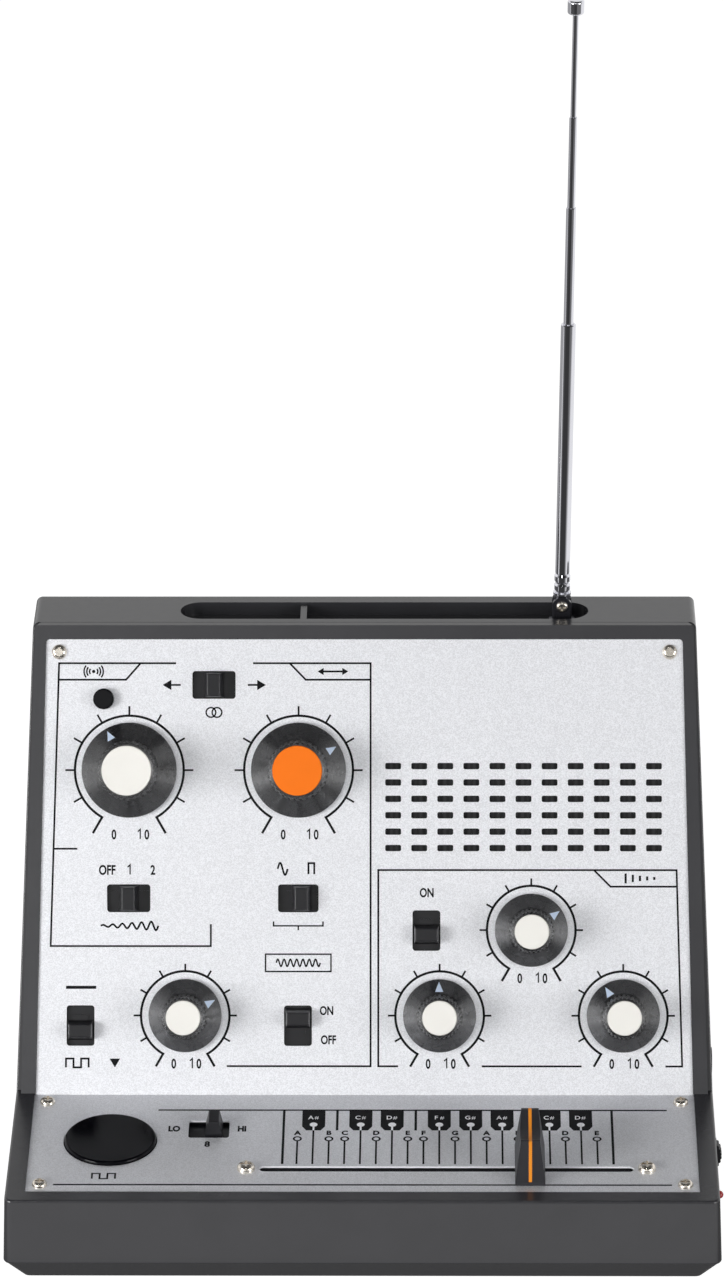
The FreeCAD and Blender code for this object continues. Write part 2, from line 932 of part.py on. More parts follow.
def add_bezel():
    """Raised frame over the top and both sides of the steep panel."""
    plate = tapered_plate(bezel_half_width, (0, slope_length + bezel_rise), (under_panel, bezel_rise))
    top_edges = short_edges_near(plate, slope_length + bezel_rise)
    plate = plate.makeFillet(bezel_corner_radius, top_edges)
    opening = tapered_plate(
        lambda v: upper_panel_half_width(v) + seat_gap,
        (-1, panel_top + seat_gap), (under_panel - 1, bezel_rise + 1))
    opening = opening.makeFillet(panel_corner_radius, short_edges_near(opening, panel_top + seat_gap))
    frame = on(slope_frame, plate.cut(opening)).cut(below_deck(rim_rise + seat_gap))
    reach = case_width_bottom
    above = block((-reach, reach), (front_y, back_y), (case_height, case_height + top_depth))
    parts["upper_bezel"] = frame.cut(above)


def add_grille_cloth():
    x, v = grille_centre()
    length, height = grille_window_size()
    cloth_z = (under_panel - cloth_thickness, under_panel)
    size = (length - 2 * fit_gap, height - 2 * fit_gap)
    parts["grille_cloth"] = on(slope_frame, centred_block(x, v, *size, cloth_z))


# ---------------------------------------------------------------- housing

def outer_profile():
    return [
        Vector(0, front_y, plinth_top), front_point(front_y, rim_rise),
        crease_point(rim_rise, under_panel), slope_point_at(case_height, under_panel),
        Vector(0, back_y, case_height), Vector(0, back_y, plinth_top)]


def inner_profile():
    low = plinth_top - 1
    return [
        Vector(0, front_y + wall, low), front_point(front_y + wall, under_wall),
        crease_point(under_wall, under_wall), slope_point_at(case_height - wall, under_wall),
        Vector(0, back_y + 1, case_height - wall), Vector(0, back_y + 1, low)]


def drafted(profile, inset):
    """Prism of a side profile, with the case's drafted sides less an inset."""
    low = min(point.z for point in profile)
    high = max(point.z for point in profile)
    depth = 2 * case_depth
    low_half = half_width(low) - inset
    high_half = half_width(high) - inset
    section = [
        Vector(-low_half, -depth / 2, low), Vector(low_half, -depth / 2, low),
        Vector(high_half, -depth / 2, high), Vector(-high_half, -depth / 2, high)]
    sides = face_of(section).extrude(Vector(0, depth, 0))
    return along_x(profile, case_width_bottom).common(sides)


def edges_between(body, first, second):
    """Edges of the drafted prism whose ends lie at the profile points first and second."""
    found = []
    for edge in body.Edges:
        ends = [vertex.Point for vertex in edge.Vertexes]
        if len(ends) != 2:
            continue
        for a, b in (ends, ends[::-1]):
            near_first = abs(a.y - first.y) < 1e-3 and abs(a.z - first.z) < 1e-3
            near_second = abs(b.y - second.y) < 1e-3 and abs(b.z - second.z) < 1e-3
            if near_first and near_second:
                found.append(edge)
                break
    return found


def outer_solid():
    profile = outer_profile()
    body = drafted(profile, 0)
    body = body.makeFillet(front_corner_radius, edges_between(body, profile[0], profile[1]))
    body = body.makeFillet(rear_corner_radius, edges_between(body, profile[-1], profile[-2]))
    body = body.makeFillet(top_side_radius, top_side_edges(body))
    body = body.makeFillet(deck_edge_radius, [
        edge for edge in body.Edges
        if lies_on(edge, deck_frame, rim_rise) and not lies_on(edge, slope_frame, under_panel)])
    return body.makeFillet(slope_edge_radius, [
        edge for edge in body.Edges
        if lies_on(edge, slope_frame, under_panel) and edge.BoundBox.ZLength > top_depth])


def top_side_edges(body):
    """Edges along Y on top of the case."""
    found = []
    for edge in body.Edges:
        box = edge.BoundBox
        if box.ZMin > case_height - 1e-3 and box.YLength > top_depth / 2 and box.XLength < 1:
            found.append(edge)
    return found


def lies_on(edge, frame, height):
    """True where both ends of the edge are at this height over a panel's axes."""
    inverse = frame.inverse()
    heights = [inverse.multVec(vertex.Point).z for vertex in edge.Vertexes]
    return all(abs(value - height) < 1e-3 for value in heights)


def round_bottom(body):
    """Rounded lower edge along the front and both sides."""
    edges = []
    for edge in body.Edges:
        box = edge.BoundBox
        if abs(box.ZMin - plinth_top) < 1e-3 and abs(box.ZMax - plinth_top) < 1e-3 and box.YMin < back_y - 1:
            edges.append(edge)
    return body.makeFillet(bottom_edge_radius, edges)


def panel_pocket():
    """Room for the lower panel in the top of the deck."""
    front = lower_panel_front - seat_gap
    half = lower_panel_half_width() + seat_gap
    outline = [
        deck_point(front, under_panel), crease_point(under_panel, under_panel),
        slope_point_at(crease_z + 15, under_panel), deck_point(front, 15)]
    return along_x(outline, half)


def recess_tub():
    size = (recess_length + 2 * recess_wall, recess_width + 2 * recess_wall)
    return stadium(*size, (recess_floor - wall, case_height), recess_centre_x, recess_centre_y)


def recess_cutters():
    z_range = (recess_floor, case_height + 5)
    pocket = stadium(recess_length, recess_width, z_range, recess_centre_x, recess_centre_y)
    clip_z = (recess_floor - 0.1, case_height - clip_drop)
    rib = centred_block(clip_x, recess_centre_y, clip_thickness, recess_width + 1, clip_z)
    saddle = Part.makeCylinder(
        tube_1_diameter / 2 + clip_gap, 3 * clip_thickness,
        Vector(clip_x - 1.5 * clip_thickness, recess_centre_y, pivot_z), X_AXIS)
    bush_hole = upright(
        socket_bush_diameter / 2 + seat_gap, (recess_floor - wall - 1, recess_floor + 1),
        antenna_x, recess_centre_y)
    return [pocket.cut(rib.cut(saddle)), bush_hole]


def slope_wall_cutters():
    """Holes in the wall behind the upper panel."""
    through = (under_wall - 15, under_panel + 0.5)
    wall_only = (under_wall - 0.5, under_panel + 0.5)
    bush_hole = pot_bush_diameter / 2 + fit_gap
    cutters = [upright(bush_hole, wall_only, x, v) for _, (x, v) in knobs.values()]
    margin = switch_margin + fit_gap
    cutters += [switch.window(margin, wall_only) for switch in upper_switches.values()]
    cutters += [switch.shutter_way() for switch in upper_switches.values()]
    button_hole = tuning_button_diameter / 2 + fit_gap
    cutters.append(upright(button_hole, wall_only, *tuning_button_spot))
    screw_hole = screw_shank_diameter / 2 + seat_gap
    hole_z = (under_panel - screw_shank_length, under_panel + 0.5)
    cutters += [upright(screw_hole, hole_z, x, v) for x, v in upper_screw_spots()]
    cutters.append(centred_block(*grille_centre(), *grille_window_size(), wall_only))
    cutters += [upright(inner_screw_diameter / 2 + seat_gap, through, *spot) for spot in speaker_spots()]
    post_hole = (board_face - 1, board_face + inner_screw_length)
    radius = inner_screw_diameter / 2 + seat_gap
    cutters += [upright(radius, post_hole, *spot) for spot in upper_board_spots()]
    return [on(slope_frame, cutter) for cutter in cutters]


def deck_wall_cutters():
    """Holes in the wall under the lower panel."""
    wall_only = (under_wall - 0.5, under_panel + 0.5)
    x, distance = trigger_spot
    hole = trigger_diameter / 2 + button_gap
    cutters = [upright(hole, wall_only, x, deck_length - distance)]
    cutters.append(octave_switch.window(switch_margin + fit_gap, wall_only))
    cutters.append(octave_switch.shutter_way())
    screw_hole = screw_shank_diameter / 2 + seat_gap
    hole_z = (under_panel - screw_shank_length, under_panel + 0.5)
    spots = lower_screw_spots() + fader_screw_spots()
    cutters += [upright(screw_hole, hole_z, *spot) for spot in spots]
    length = slot_right - slot_left
    cutters.append(stadium(length, slot_width, wall_only, slot_left + length / 2, slot_v))
    post_hole = (board_face - 1, board_face + inner_screw_length)
    radius = inner_screw_diameter / 2 + seat_gap
    cutters += [upright(radius, post_hole, *spot) for spot in lower_board_spots()]
    return [on(deck_frame, cutter) for cutter in cutters]


def slope_posts():
    boss_z = (under_panel - screw_shank_length - 1, under_panel - wall / 2)
    pieces = [upright(screw_boss_diameter / 2, boss_z, *spot) for spot in upper_screw_spots()]
    post_z = (board_face, under_panel - wall / 2)
    pieces += [upright(board_post_diameter / 2, post_z, *spot) for spot in upper_board_spots()]
    return [on(slope_frame, piece) for piece in pieces]


def deck_posts():
    boss_z = (under_panel - screw_shank_length - 1, under_panel - wall / 2)
    pieces = [upright(screw_boss_diameter / 2, boss_z, *spot) for spot in lower_screw_spots()]
    post_z = (board_face, under_panel - wall / 2)
    pieces += [upright(board_post_diameter / 2, post_z, *spot) for spot in lower_board_spots()]
    return [on(deck_frame, piece) for piece in pieces]


def base_post_spots(rear):
    x = half_width(plinth_top) - post_inset_side
    behind_jack = jack_y + jack_body_size / 2 + post_gap + post_diameter / 2
    y = behind_jack if rear else front_y + post_inset_front
    return [(-x, y), (x, y)]


def base_posts():
    """Posts for the case screws; the rear pair stands out from the side walls."""
    foot = base_floor_top() + fit_gap
    pieces = []
    for x, y in base_post_spots(False):
        top = front_point(y, under_wall + wall / 2).z
        pieces.append(upright(post_diameter / 2, (foot, top), x, y))
    for x, y in base_post_spots(True):
        z_range = (foot, foot + rear_post_height)
        pieces.append(upright(post_diameter / 2, z_range, x, y))
        side = half_width(z_range[1]) - wall / 2
        x_range = (x, side) if x > 0 else (-side, x)
        rib_z = (plinth_top + 2 * wall + fit_gap, z_range[1])
        pieces.append(block(x_range, (y - wall / 2, y + wall / 2), rib_z))
    return pieces


def rear_screw_spots():
    """(x, z) of the rear cover's screws."""
    spots = []
    for z in (plinth_top + wall + rear_screw_inset_end, case_height - wall - rear_screw_inset_end):
        x = half_width(z) - wall - rear_screw_inset_side
        spots += [(-x, z), (x, z)]
    return spots


def rear_bosses():
    """Blocks on the side walls that the rear cover is screwed to."""
    back = back_y - wall - seat_gap
    pieces = []
    for x, z in rear_screw_spots():
        side = half_width(z) - wall / 2
        reach = rear_boss_size / 2
        x_range = (x - reach, side) if x > 0 else (-side, x + reach)
        pieces.append(block(x_range, (back - rear_boss_depth, back), (z - reach, z + reach)))
    return pieces


def rear_hole(x, z, radius, y_range):
    start = Vector(x, y_range[0], z)
    return Part.makeCylinder(radius, y_range[1] - y_range[0], start, Y_AXIS)


def side_wall_cutters():
    """Openings in the right side wall for the LED, the wheel and the jack."""
    side = half_width(side_height)
    reach = wheel_thickness / 2 + 2 * fit_gap
    wheel_room = upright(wheel_diameter / 2 + 2 * fit_gap, (-reach, reach))
    jack = Part.makeCylinder(
        jack_thread_diameter / 2 + seat_gap, 4 * wall,
        Vector(side - 3 * wall, jack_y, side_height), X_AXIS)
    led = on(led_frame(), upright(led_diameter / 2 + seat_gap, (-2 * wall, 2 * wall)))
    return [on(wheel_frame(), wheel_room), jack, led]


def add_housing():
    """Case of two mouldings, under the deck and behind it, that meet below the crease."""
    body = round_bottom(outer_solid())
    shell = body.cut(drafted(inner_profile(), wall))
    inside = [recess_tub()] + slope_posts() + deck_posts() + rear_bosses()
    shell = shell.fuse([piece.common(body) for piece in inside] + base_posts())
    cutters = [panel_pocket()] + recess_cutters() + slope_wall_cutters() + deck_wall_cutters()
    cutters += side_wall_cutters()
    shank = screw_shank_diameter / 2 + seat_gap
    for x, y in base_post_spots(False) + base_post_spots(True):
        low = base_floor_top() + fit_gap - 1
        cutters.append(upright(shank, (low, low + 1 + screw_shank_length), x, y))
    for x, z in rear_screw_spots():
        y_range = (back_y - wall - screw_shank_length, back_y)
        cutters.append(rear_hole(x, z, shank, y_range))
    case = shell.cut(cutters)
    joint_y = crease_point(rim_rise, under_panel).y
    reach = case_width_bottom
    ahead = block((-reach, reach), (2 * front_y, joint_y), (0, 2 * case_height))
    parts["front_housing"] = case.common(ahead)
    parts["rear_housing"] = case.cut(ahead)


# ---------------------------------------------------------------- base cover, feet and case screws

def base_floor_top():
    return foot_height + wall


def inset_block(low, high, low_inset, high_inset):
    """Block between two heights, inset from the case's lower outline by different amounts."""
    half = half_width(plinth_top)
    low_size = (2 * (half - low_inset), case_depth - 2 * low_inset)
    high_size = (2 * (half - high_inset), case_depth - 2 * high_inset)
    return frustum_block(*low_size, *high_size, (low, high))


def leaning_edges(body):
    """Edges that run up the corners of the plinth."""
    found = []
    for edge in body.Edges:
        box = edge.BoundBox
        if box.ZLength > 1 and box.XLength > 0.5 and box.YLength > 0.5:
            found.append(edge)
    return found


def add_base_cover():
    """Tray: a plate inside the housing's lower edge, with the tapered plinth under it."""
    lip_inset = wall + cover_gap
    foot_inset = plinth_ledge + plinth_taper
    inner_inset = lip_inset + wall
    plinth = inset_block(foot_height, plinth_top, foot_inset, plinth_ledge)
    plinth = plinth.makeFillet(front_corner_radius, leaning_edges(plinth))
    lip = inset_block(plinth_top, plinth_top + wall, lip_inset, lip_inset)
    hollow = inset_block(base_floor_top(), plinth_top + 0.5, foot_inset + wall * 0.6, inner_inset)
    opening = inset_block(plinth_top - 0.5, plinth_top + wall + 1, inner_inset, inner_inset)
    tray = plinth.fuse(lip).removeSplitter().cut([hollow, opening])
    cutters = []
    shank = screw_shank_diameter / 2 + seat_gap
    head = screw_head_diameter / 2 + fit_gap
    for x, y in base_post_spots(False) + base_post_spots(True):
        cutters.append(upright(shank, (0, plinth_top), x, y))
        cutters.append(upright(head, (0, base_head_seat()), x, y))
    for x, y in foot_spots():
        cutters.append(upright(foot_diameter / 2 + seat_gap, (0, foot_height + foot_pocket), x, y))
    parts["base_cover"] = tray.cut(cutters)


def base_head_seat():
    return foot_height + wall / 2


def foot_spots():
    x = half_width(plinth_top) - foot_inset_side
    y = case_depth / 2 - foot_inset_end
    return [(-x, -y), (x, -y), (-x, y), (x, y)]


def add_feet():
    feet = []
    for x, y in foot_spots():
        foot = upright(foot_diameter / 2, (0, foot_height + foot_pocket), x, y)
        rim = [e for e in foot.Edges if e.BoundBox.ZMax < 1e-3]
        feet.append(foot.makeFillet(0.4, rim))
    parts["rubber_feet"] = group(feet)


def add_case_screws():
    screws = []
    for x, y in base_post_spots(False) + base_post_spots(True):
        body = panel_screw()
        body.rotate(Vector(0, 0, 0), X_AXIS, 180)
        screws.append(at(x, y, base_head_seat(), body))
    for x, z in rear_screw_spots():
        body = panel_screw()
        body.rotate(Vector(0, 0, 0), X_AXIS, -90)
        screws.append(at(x, back_y, z, body))
    parts["case_screws"] = group(screws)


# ---------------------------------------------------------------- loudspeaker

def speaker_spots():
    """Four screws on a circle, at 45 degrees."""
    x, v = grille_centre()
    reach = speaker_screw_circle / 2 * cos(pi / 4)
    return [(x + i * reach, v + j * reach) for i in (-1, 1) for j in (-1, 1)]


def add_speaker():
    x, v = grille_centre()
    rim = speaker_diameter / 2
    neck = speaker_neck_diameter / 2
    flange = speaker_flange_thickness
    shoulder = rim - 6
    skin = speaker_basket_wall
    frame = turned([
        (shoulder - skin, 0), (rim, 0), (rim, -flange), (shoulder, -flange),
        (neck, -speaker_basket_depth), (neck - 4, -speaker_basket_depth),
        (neck - 4, -speaker_basket_depth + skin), (neck - skin, -speaker_basket_depth + skin),
        (shoulder - skin, -flange)])
    holes = []
    reach = speaker_screw_circle / 2
    for index in range(4):
        angle = pi / 4 + index * pi / 2
        hole = upright(inner_screw_diameter / 2 + seat_gap, (-flange - 1, 1))
        holes.append(at(reach * cos(angle), reach * sin(angle), 0, hole))
    frame = frame.cut(holes)
    magnet_top = -speaker_basket_depth
    magnet = upright(speaker_magnet_diameter / 2, (magnet_top - speaker_magnet_height, magnet_top))
    dome = speaker_dome_diameter / 2
    outer = shoulder - skin - seat_gap
    thick = speaker_cone_thickness
    cone = turned([
        (outer, -thick - 0.3), (outer, -0.3), (outer - 3, -0.3), (dome, -speaker_cone_depth + thick),
        (0, -speaker_cone_depth + 3), (0, -speaker_cone_depth + 3 - thick), (dome, -speaker_cone_depth),
        (dome + thick, -speaker_cone_depth), (outer - 3, -thick - 0.3)])
    for name, shape in (("speaker_frame", frame), ("speaker_magnet", magnet), ("speaker_cone", cone)):
        parts[name] = on(slope_frame, at(x, v, under_wall, shape))


# ---------------------------------------------------------------- circuit boards

def upper_board_spots():
    x_knob = pitch_slide_knob_spot[0] + big_skirt_diameter / 2 + board_post_diameter
    side = board_half_width() - board_post_diameter
    middle = (pitch_antenna_knob_spot[0] + pitch_slide_knob_spot[0]) / 2
    low = decay_knob_spot[1] + pot_diameter / 2 + 2 * board_post_diameter
    return [
        (-side, modulation_spot[1] + 2 * window_width), (middle, pitch_slide_knob_spot[1]),
        (x_knob, mix_spot[1] - window_width), (middle, low), (x_knob, board_post_diameter * 2),
        (side, upper_board_step_height - board_post_diameter)]


def board_half_width():
    return upper_panel_half_width(slope_length) - board_margin


def lower_board_spots():
    side = board_half_width() - board_post_diameter / 2 - seat_gap
    rear = deck_length - board_margin - board_post_diameter
    inner = slot_left - fader_body_end - board_post_diameter / 2
    front = lower_panel_front + board_margin
    return [(-side, rear), (inner, rear), (side, rear), (inner, front)]


def board_holes(spots):
    radius = inner_screw_diameter / 2 + seat_gap
    return [upright(radius, (board_back - 1, board_face + 1), *spot) for spot in spots]


def add_boards():
    z_range = (board_back, board_face)
    half = board_half_width()
    left_edge = grille_centre()[0] - speaker_diameter / 2 - fit_gap
    tall = block((-half, left_edge), (board_margin, upper_board_height), z_range)
    low = block((left_edge - 1, half), (board_margin, upper_board_step_height), z_range)
    upper = tall.fuse(low).removeSplitter().cut(board_holes(upper_board_spots()))
    parts["upper_board"] = on(slope_frame, upper)
    front = lower_panel_front + board_margin / 2
    rear = deck_length - board_margin
    lower = block((-half, half), (front, rear), z_range)
    lower = on(deck_frame, lower.cut(board_holes(lower_board_spots())))
    radius = post_diameter / 2 + post_gap
    post_z = (plinth_top, case_height)
    notches = [upright(radius, post_z, *spot) for spot in base_post_spots(False)]
    parts["lower_board"] = lower.cut(notches)


def add_inner_screws():
    """Board screws from behind, and the loudspeaker's screws."""
    board_screw = screw(inner_head_diameter, inner_head_height, inner_screw_diameter, inner_screw_length)
    board_screw.rotate(Vector(0, 0, 0), X_AXIS, 180)
    screws = []
    for x, v in upper_board_spots():
        screws.append(on(slope_frame, at(x, v, board_back, board_screw)))
    for x, v in lower_board_spots():
        screws.append(on(deck_frame, at(x, v, board_back, board_screw)))
    speaker_screw = screw(
        inner_head_diameter, inner_head_height, inner_screw_diameter,
        speaker_flange_thickness + wall - seat_gap)
    speaker_screw.rotate(Vector(0, 0, 0), X_AXIS, 180)
    for x, v in speaker_spots():
        screws.append(on(slope_frame, at(x, v, under_wall - speaker_flange_thickness, speaker_screw)))
    parts["inner_screws"] = group(screws)


# ---------------------------------------------------------------- slide fader

def fader_outline():
    """Side view of the cap: (distance towards the front, height above the panel)."""
    front = fader_cap_length / 2
    rear = -fader_cap_length / 2
    front_top = front - fader_cap_front_slant
    rear_top = rear + fader_cap_rear_slant
    return front, rear, front_top, rear_top


def fader_side_face(x):
    """Side view of the cap as a face at x, with the thumb scoop as an arc."""
    front, rear, front_top, rear_top = fader_outline()
    low = fader_lift
    bevel = fader_cap_bevel_height

    def spot(distance, height):
        return Vector(x, -distance, height)

    scoop_front = spot(front_top - fader_ridge, fader_front_height)
    scoop_rear = spot(rear_top + fader_ridge, fader_rear_height)
    middle = (scoop_front + scoop_rear) / 2 - Vector(0, 0, fader_scoop)
    corners = [
        spot(front, low), spot(front, low + bevel), spot(front_top, fader_front_height), scoop_front]
    others = [scoop_rear, spot(rear_top, fader_rear_height), spot(rear, low), spot(front, low)]
    edges = [Part.LineSegment(a, b).toShape() for a, b in zip(corners, corners[1:])]
    edges.append(Part.Arc(scoop_front, middle, scoop_rear).toShape())
    edges += [Part.LineSegment(a, b).toShape() for a, b in zip(others, others[1:])]
    return Part.Face(Part.Wire(edges))


def fader_cap_shape():
    """Cap about the lever's axis: side view across, narrowing towards the top."""
    half = fader_cap_width / 2
    top_half = fader_cap_top_width / 2
    body = fader_side_face(-half).extrude(Vector(2 * half, 0, 0))
    high = max(fader_front_height, fader_rear_height)
    knee = fader_lift + fader_cap_bevel_height
    section = [
        Vector(-half, 0, 0), Vector(half, 0, 0), Vector(half, 0, knee), Vector(top_half, 0, high),
        Vector(-top_half, 0, high), Vector(-half, 0, knee)]
    sides = at(0, -fader_cap_length, 0, face_of(section).extrude(Vector(0, 2 * fader_cap_length, 0)))
    return body.common(sides)


def stripe_band():
    """The layer of the cap's top and front that the stripe fills."""
    half = stripe_width / 2
    outer = fader_side_face(-half).extrude(Vector(2 * half, 0, 0))
    inner = fader_side_face(-half).extrude(Vector(2 * half, 0, 0))
    sunk = at(0, stripe_depth, -stripe_depth, inner)
    above = block((-half, half), (-fader_cap_length, fader_cap_length / 2 - fader_cap_rear_slant),
                  (fader_lift + fader_cap_bevel_height, fader_rear_height + 1))
    return outer.cut(sunk).common(above)


def fader_lever(gap):
    size = (lever_length + 2 * gap, lever_thickness + 2 * gap)
    z_range = (under_wall - fader_channel_depth + fit_gap - gap, lever_engagement + gap)
    return centred_block(0, 0, *size, z_range)


def add_fader():
    left = fader_screw_spots()[0][0] - fader_body_end / 2
    right = fader_screw_spots()[1][0] + fader_body_end / 2
    half = fader_body_width / 2
    body = block((left, right), (slot_v - half, slot_v + half), (board_face, under_wall))
    length = slot_right - slot_left
    channel_z = (under_wall - fader_channel_depth, under_wall + 1)
    channel = centred_block(slot_left + length / 2, slot_v, length, fader_channel_width, channel_z)
    holes = []
    for x, v in fader_screw_spots():
        hole_z = (under_panel - screw_shank_length, under_wall + 1)
        holes.append(upright(screw_shank_diameter / 2 + seat_gap, hole_z, x, v))
    parts["fader_body"] = on(deck_frame, body.cut([channel] + holes))
    cap = at(0, fader_shift, 0, fader_cap_shape())
    stripe = at(0, fader_shift, 0, stripe_band())
    lever = fader_lever(0)
    cap = cap.cut([stripe, fader_lever(running_gap)])
    for name, shape in (("fader_cap", cap), ("fader_stripe", stripe), ("fader_lever", lever)):
        parts[name] = on(deck_frame, at(fader_position, slot_v, 0, shape))


# ---------------------------------------------------------------- antenna

def antenna_socket():
    """Flanged bush under the recess floor, with a solder tag."""
    under = recess_floor - wall
    flange_z = (under - socket_flange_thickness, under)
    flange = upright(socket_flange_diameter / 2, flange_z)
    tag = centred_block(-socket_flange_diameter, 0, socket_flange_diameter, 4, flange_z)
    bush = upright(socket_bush_diameter / 2, (under, recess_floor))
    bore = upright(stem_diameter / 2 + running_gap, (under - 2, recess_floor + 1))
    return flange.fuse([tag, bush]).removeSplitter().cut(bore)


def rounded_ear(width, y_range, low, round_z):
    """Upright ear, round at the top about the hinge line."""
    radius = width / 2
    body = block((-radius, radius), y_range, (low, round_z))
    crown = Part.makeCylinder(radius, y_range[1] - y_range[0], Vector(0, y_range[0], round_z), Y_AXIS)
    return body.fuse(crown).removeSplitter()


def antenna_swivel():
    """Riveted stem, base disc and the two ears of the clevis."""
    under = recess_floor - wall - socket_flange_thickness
    rivet_z = (under - fit_gap - rivet_thickness, under - fit_gap)
    base_z = (recess_floor + fit_gap, recess_floor + fit_gap + swivel_base_thickness)
    stem = upright(stem_diameter / 2, (rivet_z[0], base_z[1]))
    rivet = upright(rivet_diameter / 2, rivet_z)
    base = upright(swivel_base_diameter / 2, base_z)
    inner = tongue_thickness / 2 + fit_gap
    outer = inner + clevis_ear_thickness
    low = base_z[0] + swivel_base_thickness / 2
    ears = [
        rounded_ear(clevis_width, (inner, outer), low, pivot_z),
        rounded_ear(clevis_width, (-outer, -inner), low, pivot_z)]
    limit = upright(swivel_base_diameter / 2, (low, pivot_z + clevis_width))
    ears = [ear.common(limit) for ear in ears]
    bore = Part.makeCylinder(
        hinge_pin_diameter / 2 + seat_gap, 2 * outer + 2, Vector(0, -outer - 1, pivot_z), Y_AXIS)
    return stem.fuse([rivet, base] + ears).removeSplitter().cut(bore)


def antenna_screw():
    """Cross-head hinge screw, its head towards the front."""
    outer = tongue_thickness / 2 + fit_gap + clevis_ear_thickness
    body = screw(hinge_head_diameter, hinge_head_thickness, hinge_pin_diameter, 2 * outer + 0.8)
    body.rotate(Vector(0, 0, 0), X_AXIS, 90)
    return at(0, -outer - seat_gap, pivot_z, body)


def tube(outer_diameter, inner_diameter, low, high):
    """Telescope tube with its rolled mouth."""
    outer = outer_diameter / 2
    inner = inner_diameter / 2
    lip = min(0.25, (outer - inner) / 2)
    return turned([(inner, low), (outer, low), (outer, high - lip), (outer - lip, high), (inner, high)])


def antenna_tube_1():
    """Hinge tongue, shoulder, two ribs and the lowest tube, standing on the hinge line."""
    radius = tongue_width / 2
    half = tongue_thickness / 2
    tongue = block((-radius, radius), (-half, half), (0, shoulder_start))
    knuckle = Part.makeCylinder(radius, tongue_thickness, Vector(0, -half, 0), Y_AXIS)
    bore = Part.makeCylinder(
        hinge_pin_diameter / 2 + running_gap, 2 * tongue_thickness, Vector(0, -tongue_thickness, 0), Y_AXIS)
    rib = rib_diameter / 2
    body = tube_1_diameter / 2
    middle = (rib_start + rib_end) / 2
    shoulder = clevis_width / 2 - 0.2
    neck = body - 0.3
    column = turned([
        (0, shoulder_start), (shoulder, shoulder_start), (shoulder, rib_start - rib_groove),
        (neck, rib_start - rib_groove), (neck, rib_start), (rib - 0.4, rib_start), (rib, rib_start + 0.7),
        (rib, middle - rib_groove - 0.5), (neck, middle - rib_groove / 2), (neck, middle),
        (rib, middle + 0.7), (rib, rib_end - 0.7), (neck, rib_end), (body, rib_end + rib_groove),
        (body, tube_1_end - 0.3), (body - 0.3, tube_1_end), (0, tube_1_end)])
    inner = upright(tube_2_diameter / 2 + running_gap, (tube_1_floor, tube_1_end + 1))
    return tongue.fuse([knuckle, column]).removeSplitter().cut([bore, inner])


def antenna_rod():
    """Thin rod, and the round tip that is pressed on it."""
    rod = upright(rod_diameter / 2, (rod_end - rod_length, rod_end))
    tip = upright(tip_diameter / 2, (rod_end, rod_end + tip_height))
    rims = [e for e in tip.Edges if e.BoundBox.ZLength < 1e-6]
    return group([rod, tip.makeFillet(0.8, rims)])


def lean(shape):
    """The upright antenna, tipped to the right about the hinge line and put in place."""
    tipped = shape.copy()
    tipped.rotate(Vector(0, 0, 0), Y_AXIS, antenna_lean)
    return at(antenna_x, recess_centre_y, pivot_z, tipped)


def add_antenna():
    parts["antenna_socket"] = at(antenna_x, recess_centre_y, 0, antenna_socket())
    parts["antenna_swivel"] = at(antenna_x, recess_centre_y, 0, antenna_swivel())
    parts["antenna_screw"] = at(antenna_x, recess_centre_y, 0, antenna_screw())
    gap = 2 * running_gap
    parts["antenna_tube_1"] = lean(antenna_tube_1())
    tube_2 = tube(tube_2_diameter, tube_3_diameter + gap, tube_2_end - tube_2_length, tube_2_end)
    tube_3 = tube(tube_3_diameter, rod_diameter + gap, tube_3_end - tube_3_length, tube_3_end)
    parts["antenna_tube_2"] = lean(tube_2)
    parts["antenna_tube_3"] = lean(tube_3)
    parts["antenna_rod"] = lean(antenna_rod())


# ---------------------------------------------------------------- right side

def side_frame(distance, x, depth_under_panel):
    """Frame under the deck at a distance from the front edge; its Z points along +X."""
    place = deck_frame.multVec(Vector(x, distance / deck_cosine, depth_under_panel))
    return FreeCAD.Placement(place, FreeCAD.Rotation(Y_AXIS, 90))


def led_depth():
    return board_back - led_flange_diameter / 2 - seat_gap


def led_frame():
    height = deck_point(led_distance, led_depth()).z
    return side_frame(led_distance, half_width(height), led_depth())


def add_led():
    """LED seen through the side wall, with its leads up to the board."""
    radius = led_diameter / 2
    barrel = upright(radius, (-led_body_length, led_rise - radius))
    dome = Part.makeSphere(radius, Vector(0, 0, led_rise - radius))
    back = -led_body_length - led_flange_thickness
    flange = upright(led_flange_diameter / 2, (back, -led_body_length))
    end = board_half_width() - half_width(side_height) - 3 * lead_spacing
    board = board_back_over_led()
    half = lead_size / 2
    leads = []
    for side in (-lead_spacing / 2, lead_spacing / 2):
        run = block((-half, half), (side - half, side + half), (end, back))
        rise = block((board, half), (side - half, side + half), (end, end + lead_size))
        leads.append(run.fuse(rise).removeSplitter())
    body = barrel.fuse([dome, flange]).removeSplitter()
    parts["power_led"] = on(led_frame(), body.fuse(leads).removeSplitter())


def board_back_over_led():
    """Where the lower board's back lies, along the LED frame's X."""
    return led_depth() - board_back + 2 * seat_gap


def wheel_depth():
    return board_back - volume_pot_height / 2 - seat_gap


def wheel_frame():
    """Frame at the wheel's centre, its Z along the wheel's axis, towards the back."""
    height = deck_point(wheel_distance, wheel_depth()).z
    x = half_width(height) + wheel_reach - wheel_diameter / 2
    place = deck_frame.multVec(Vector(x, wheel_distance / deck_cosine, wheel_depth()))
    tilt = FreeCAD.Rotation(X_AXIS, deck_slope - 90)
    return FreeCAD.Placement(place, tilt)


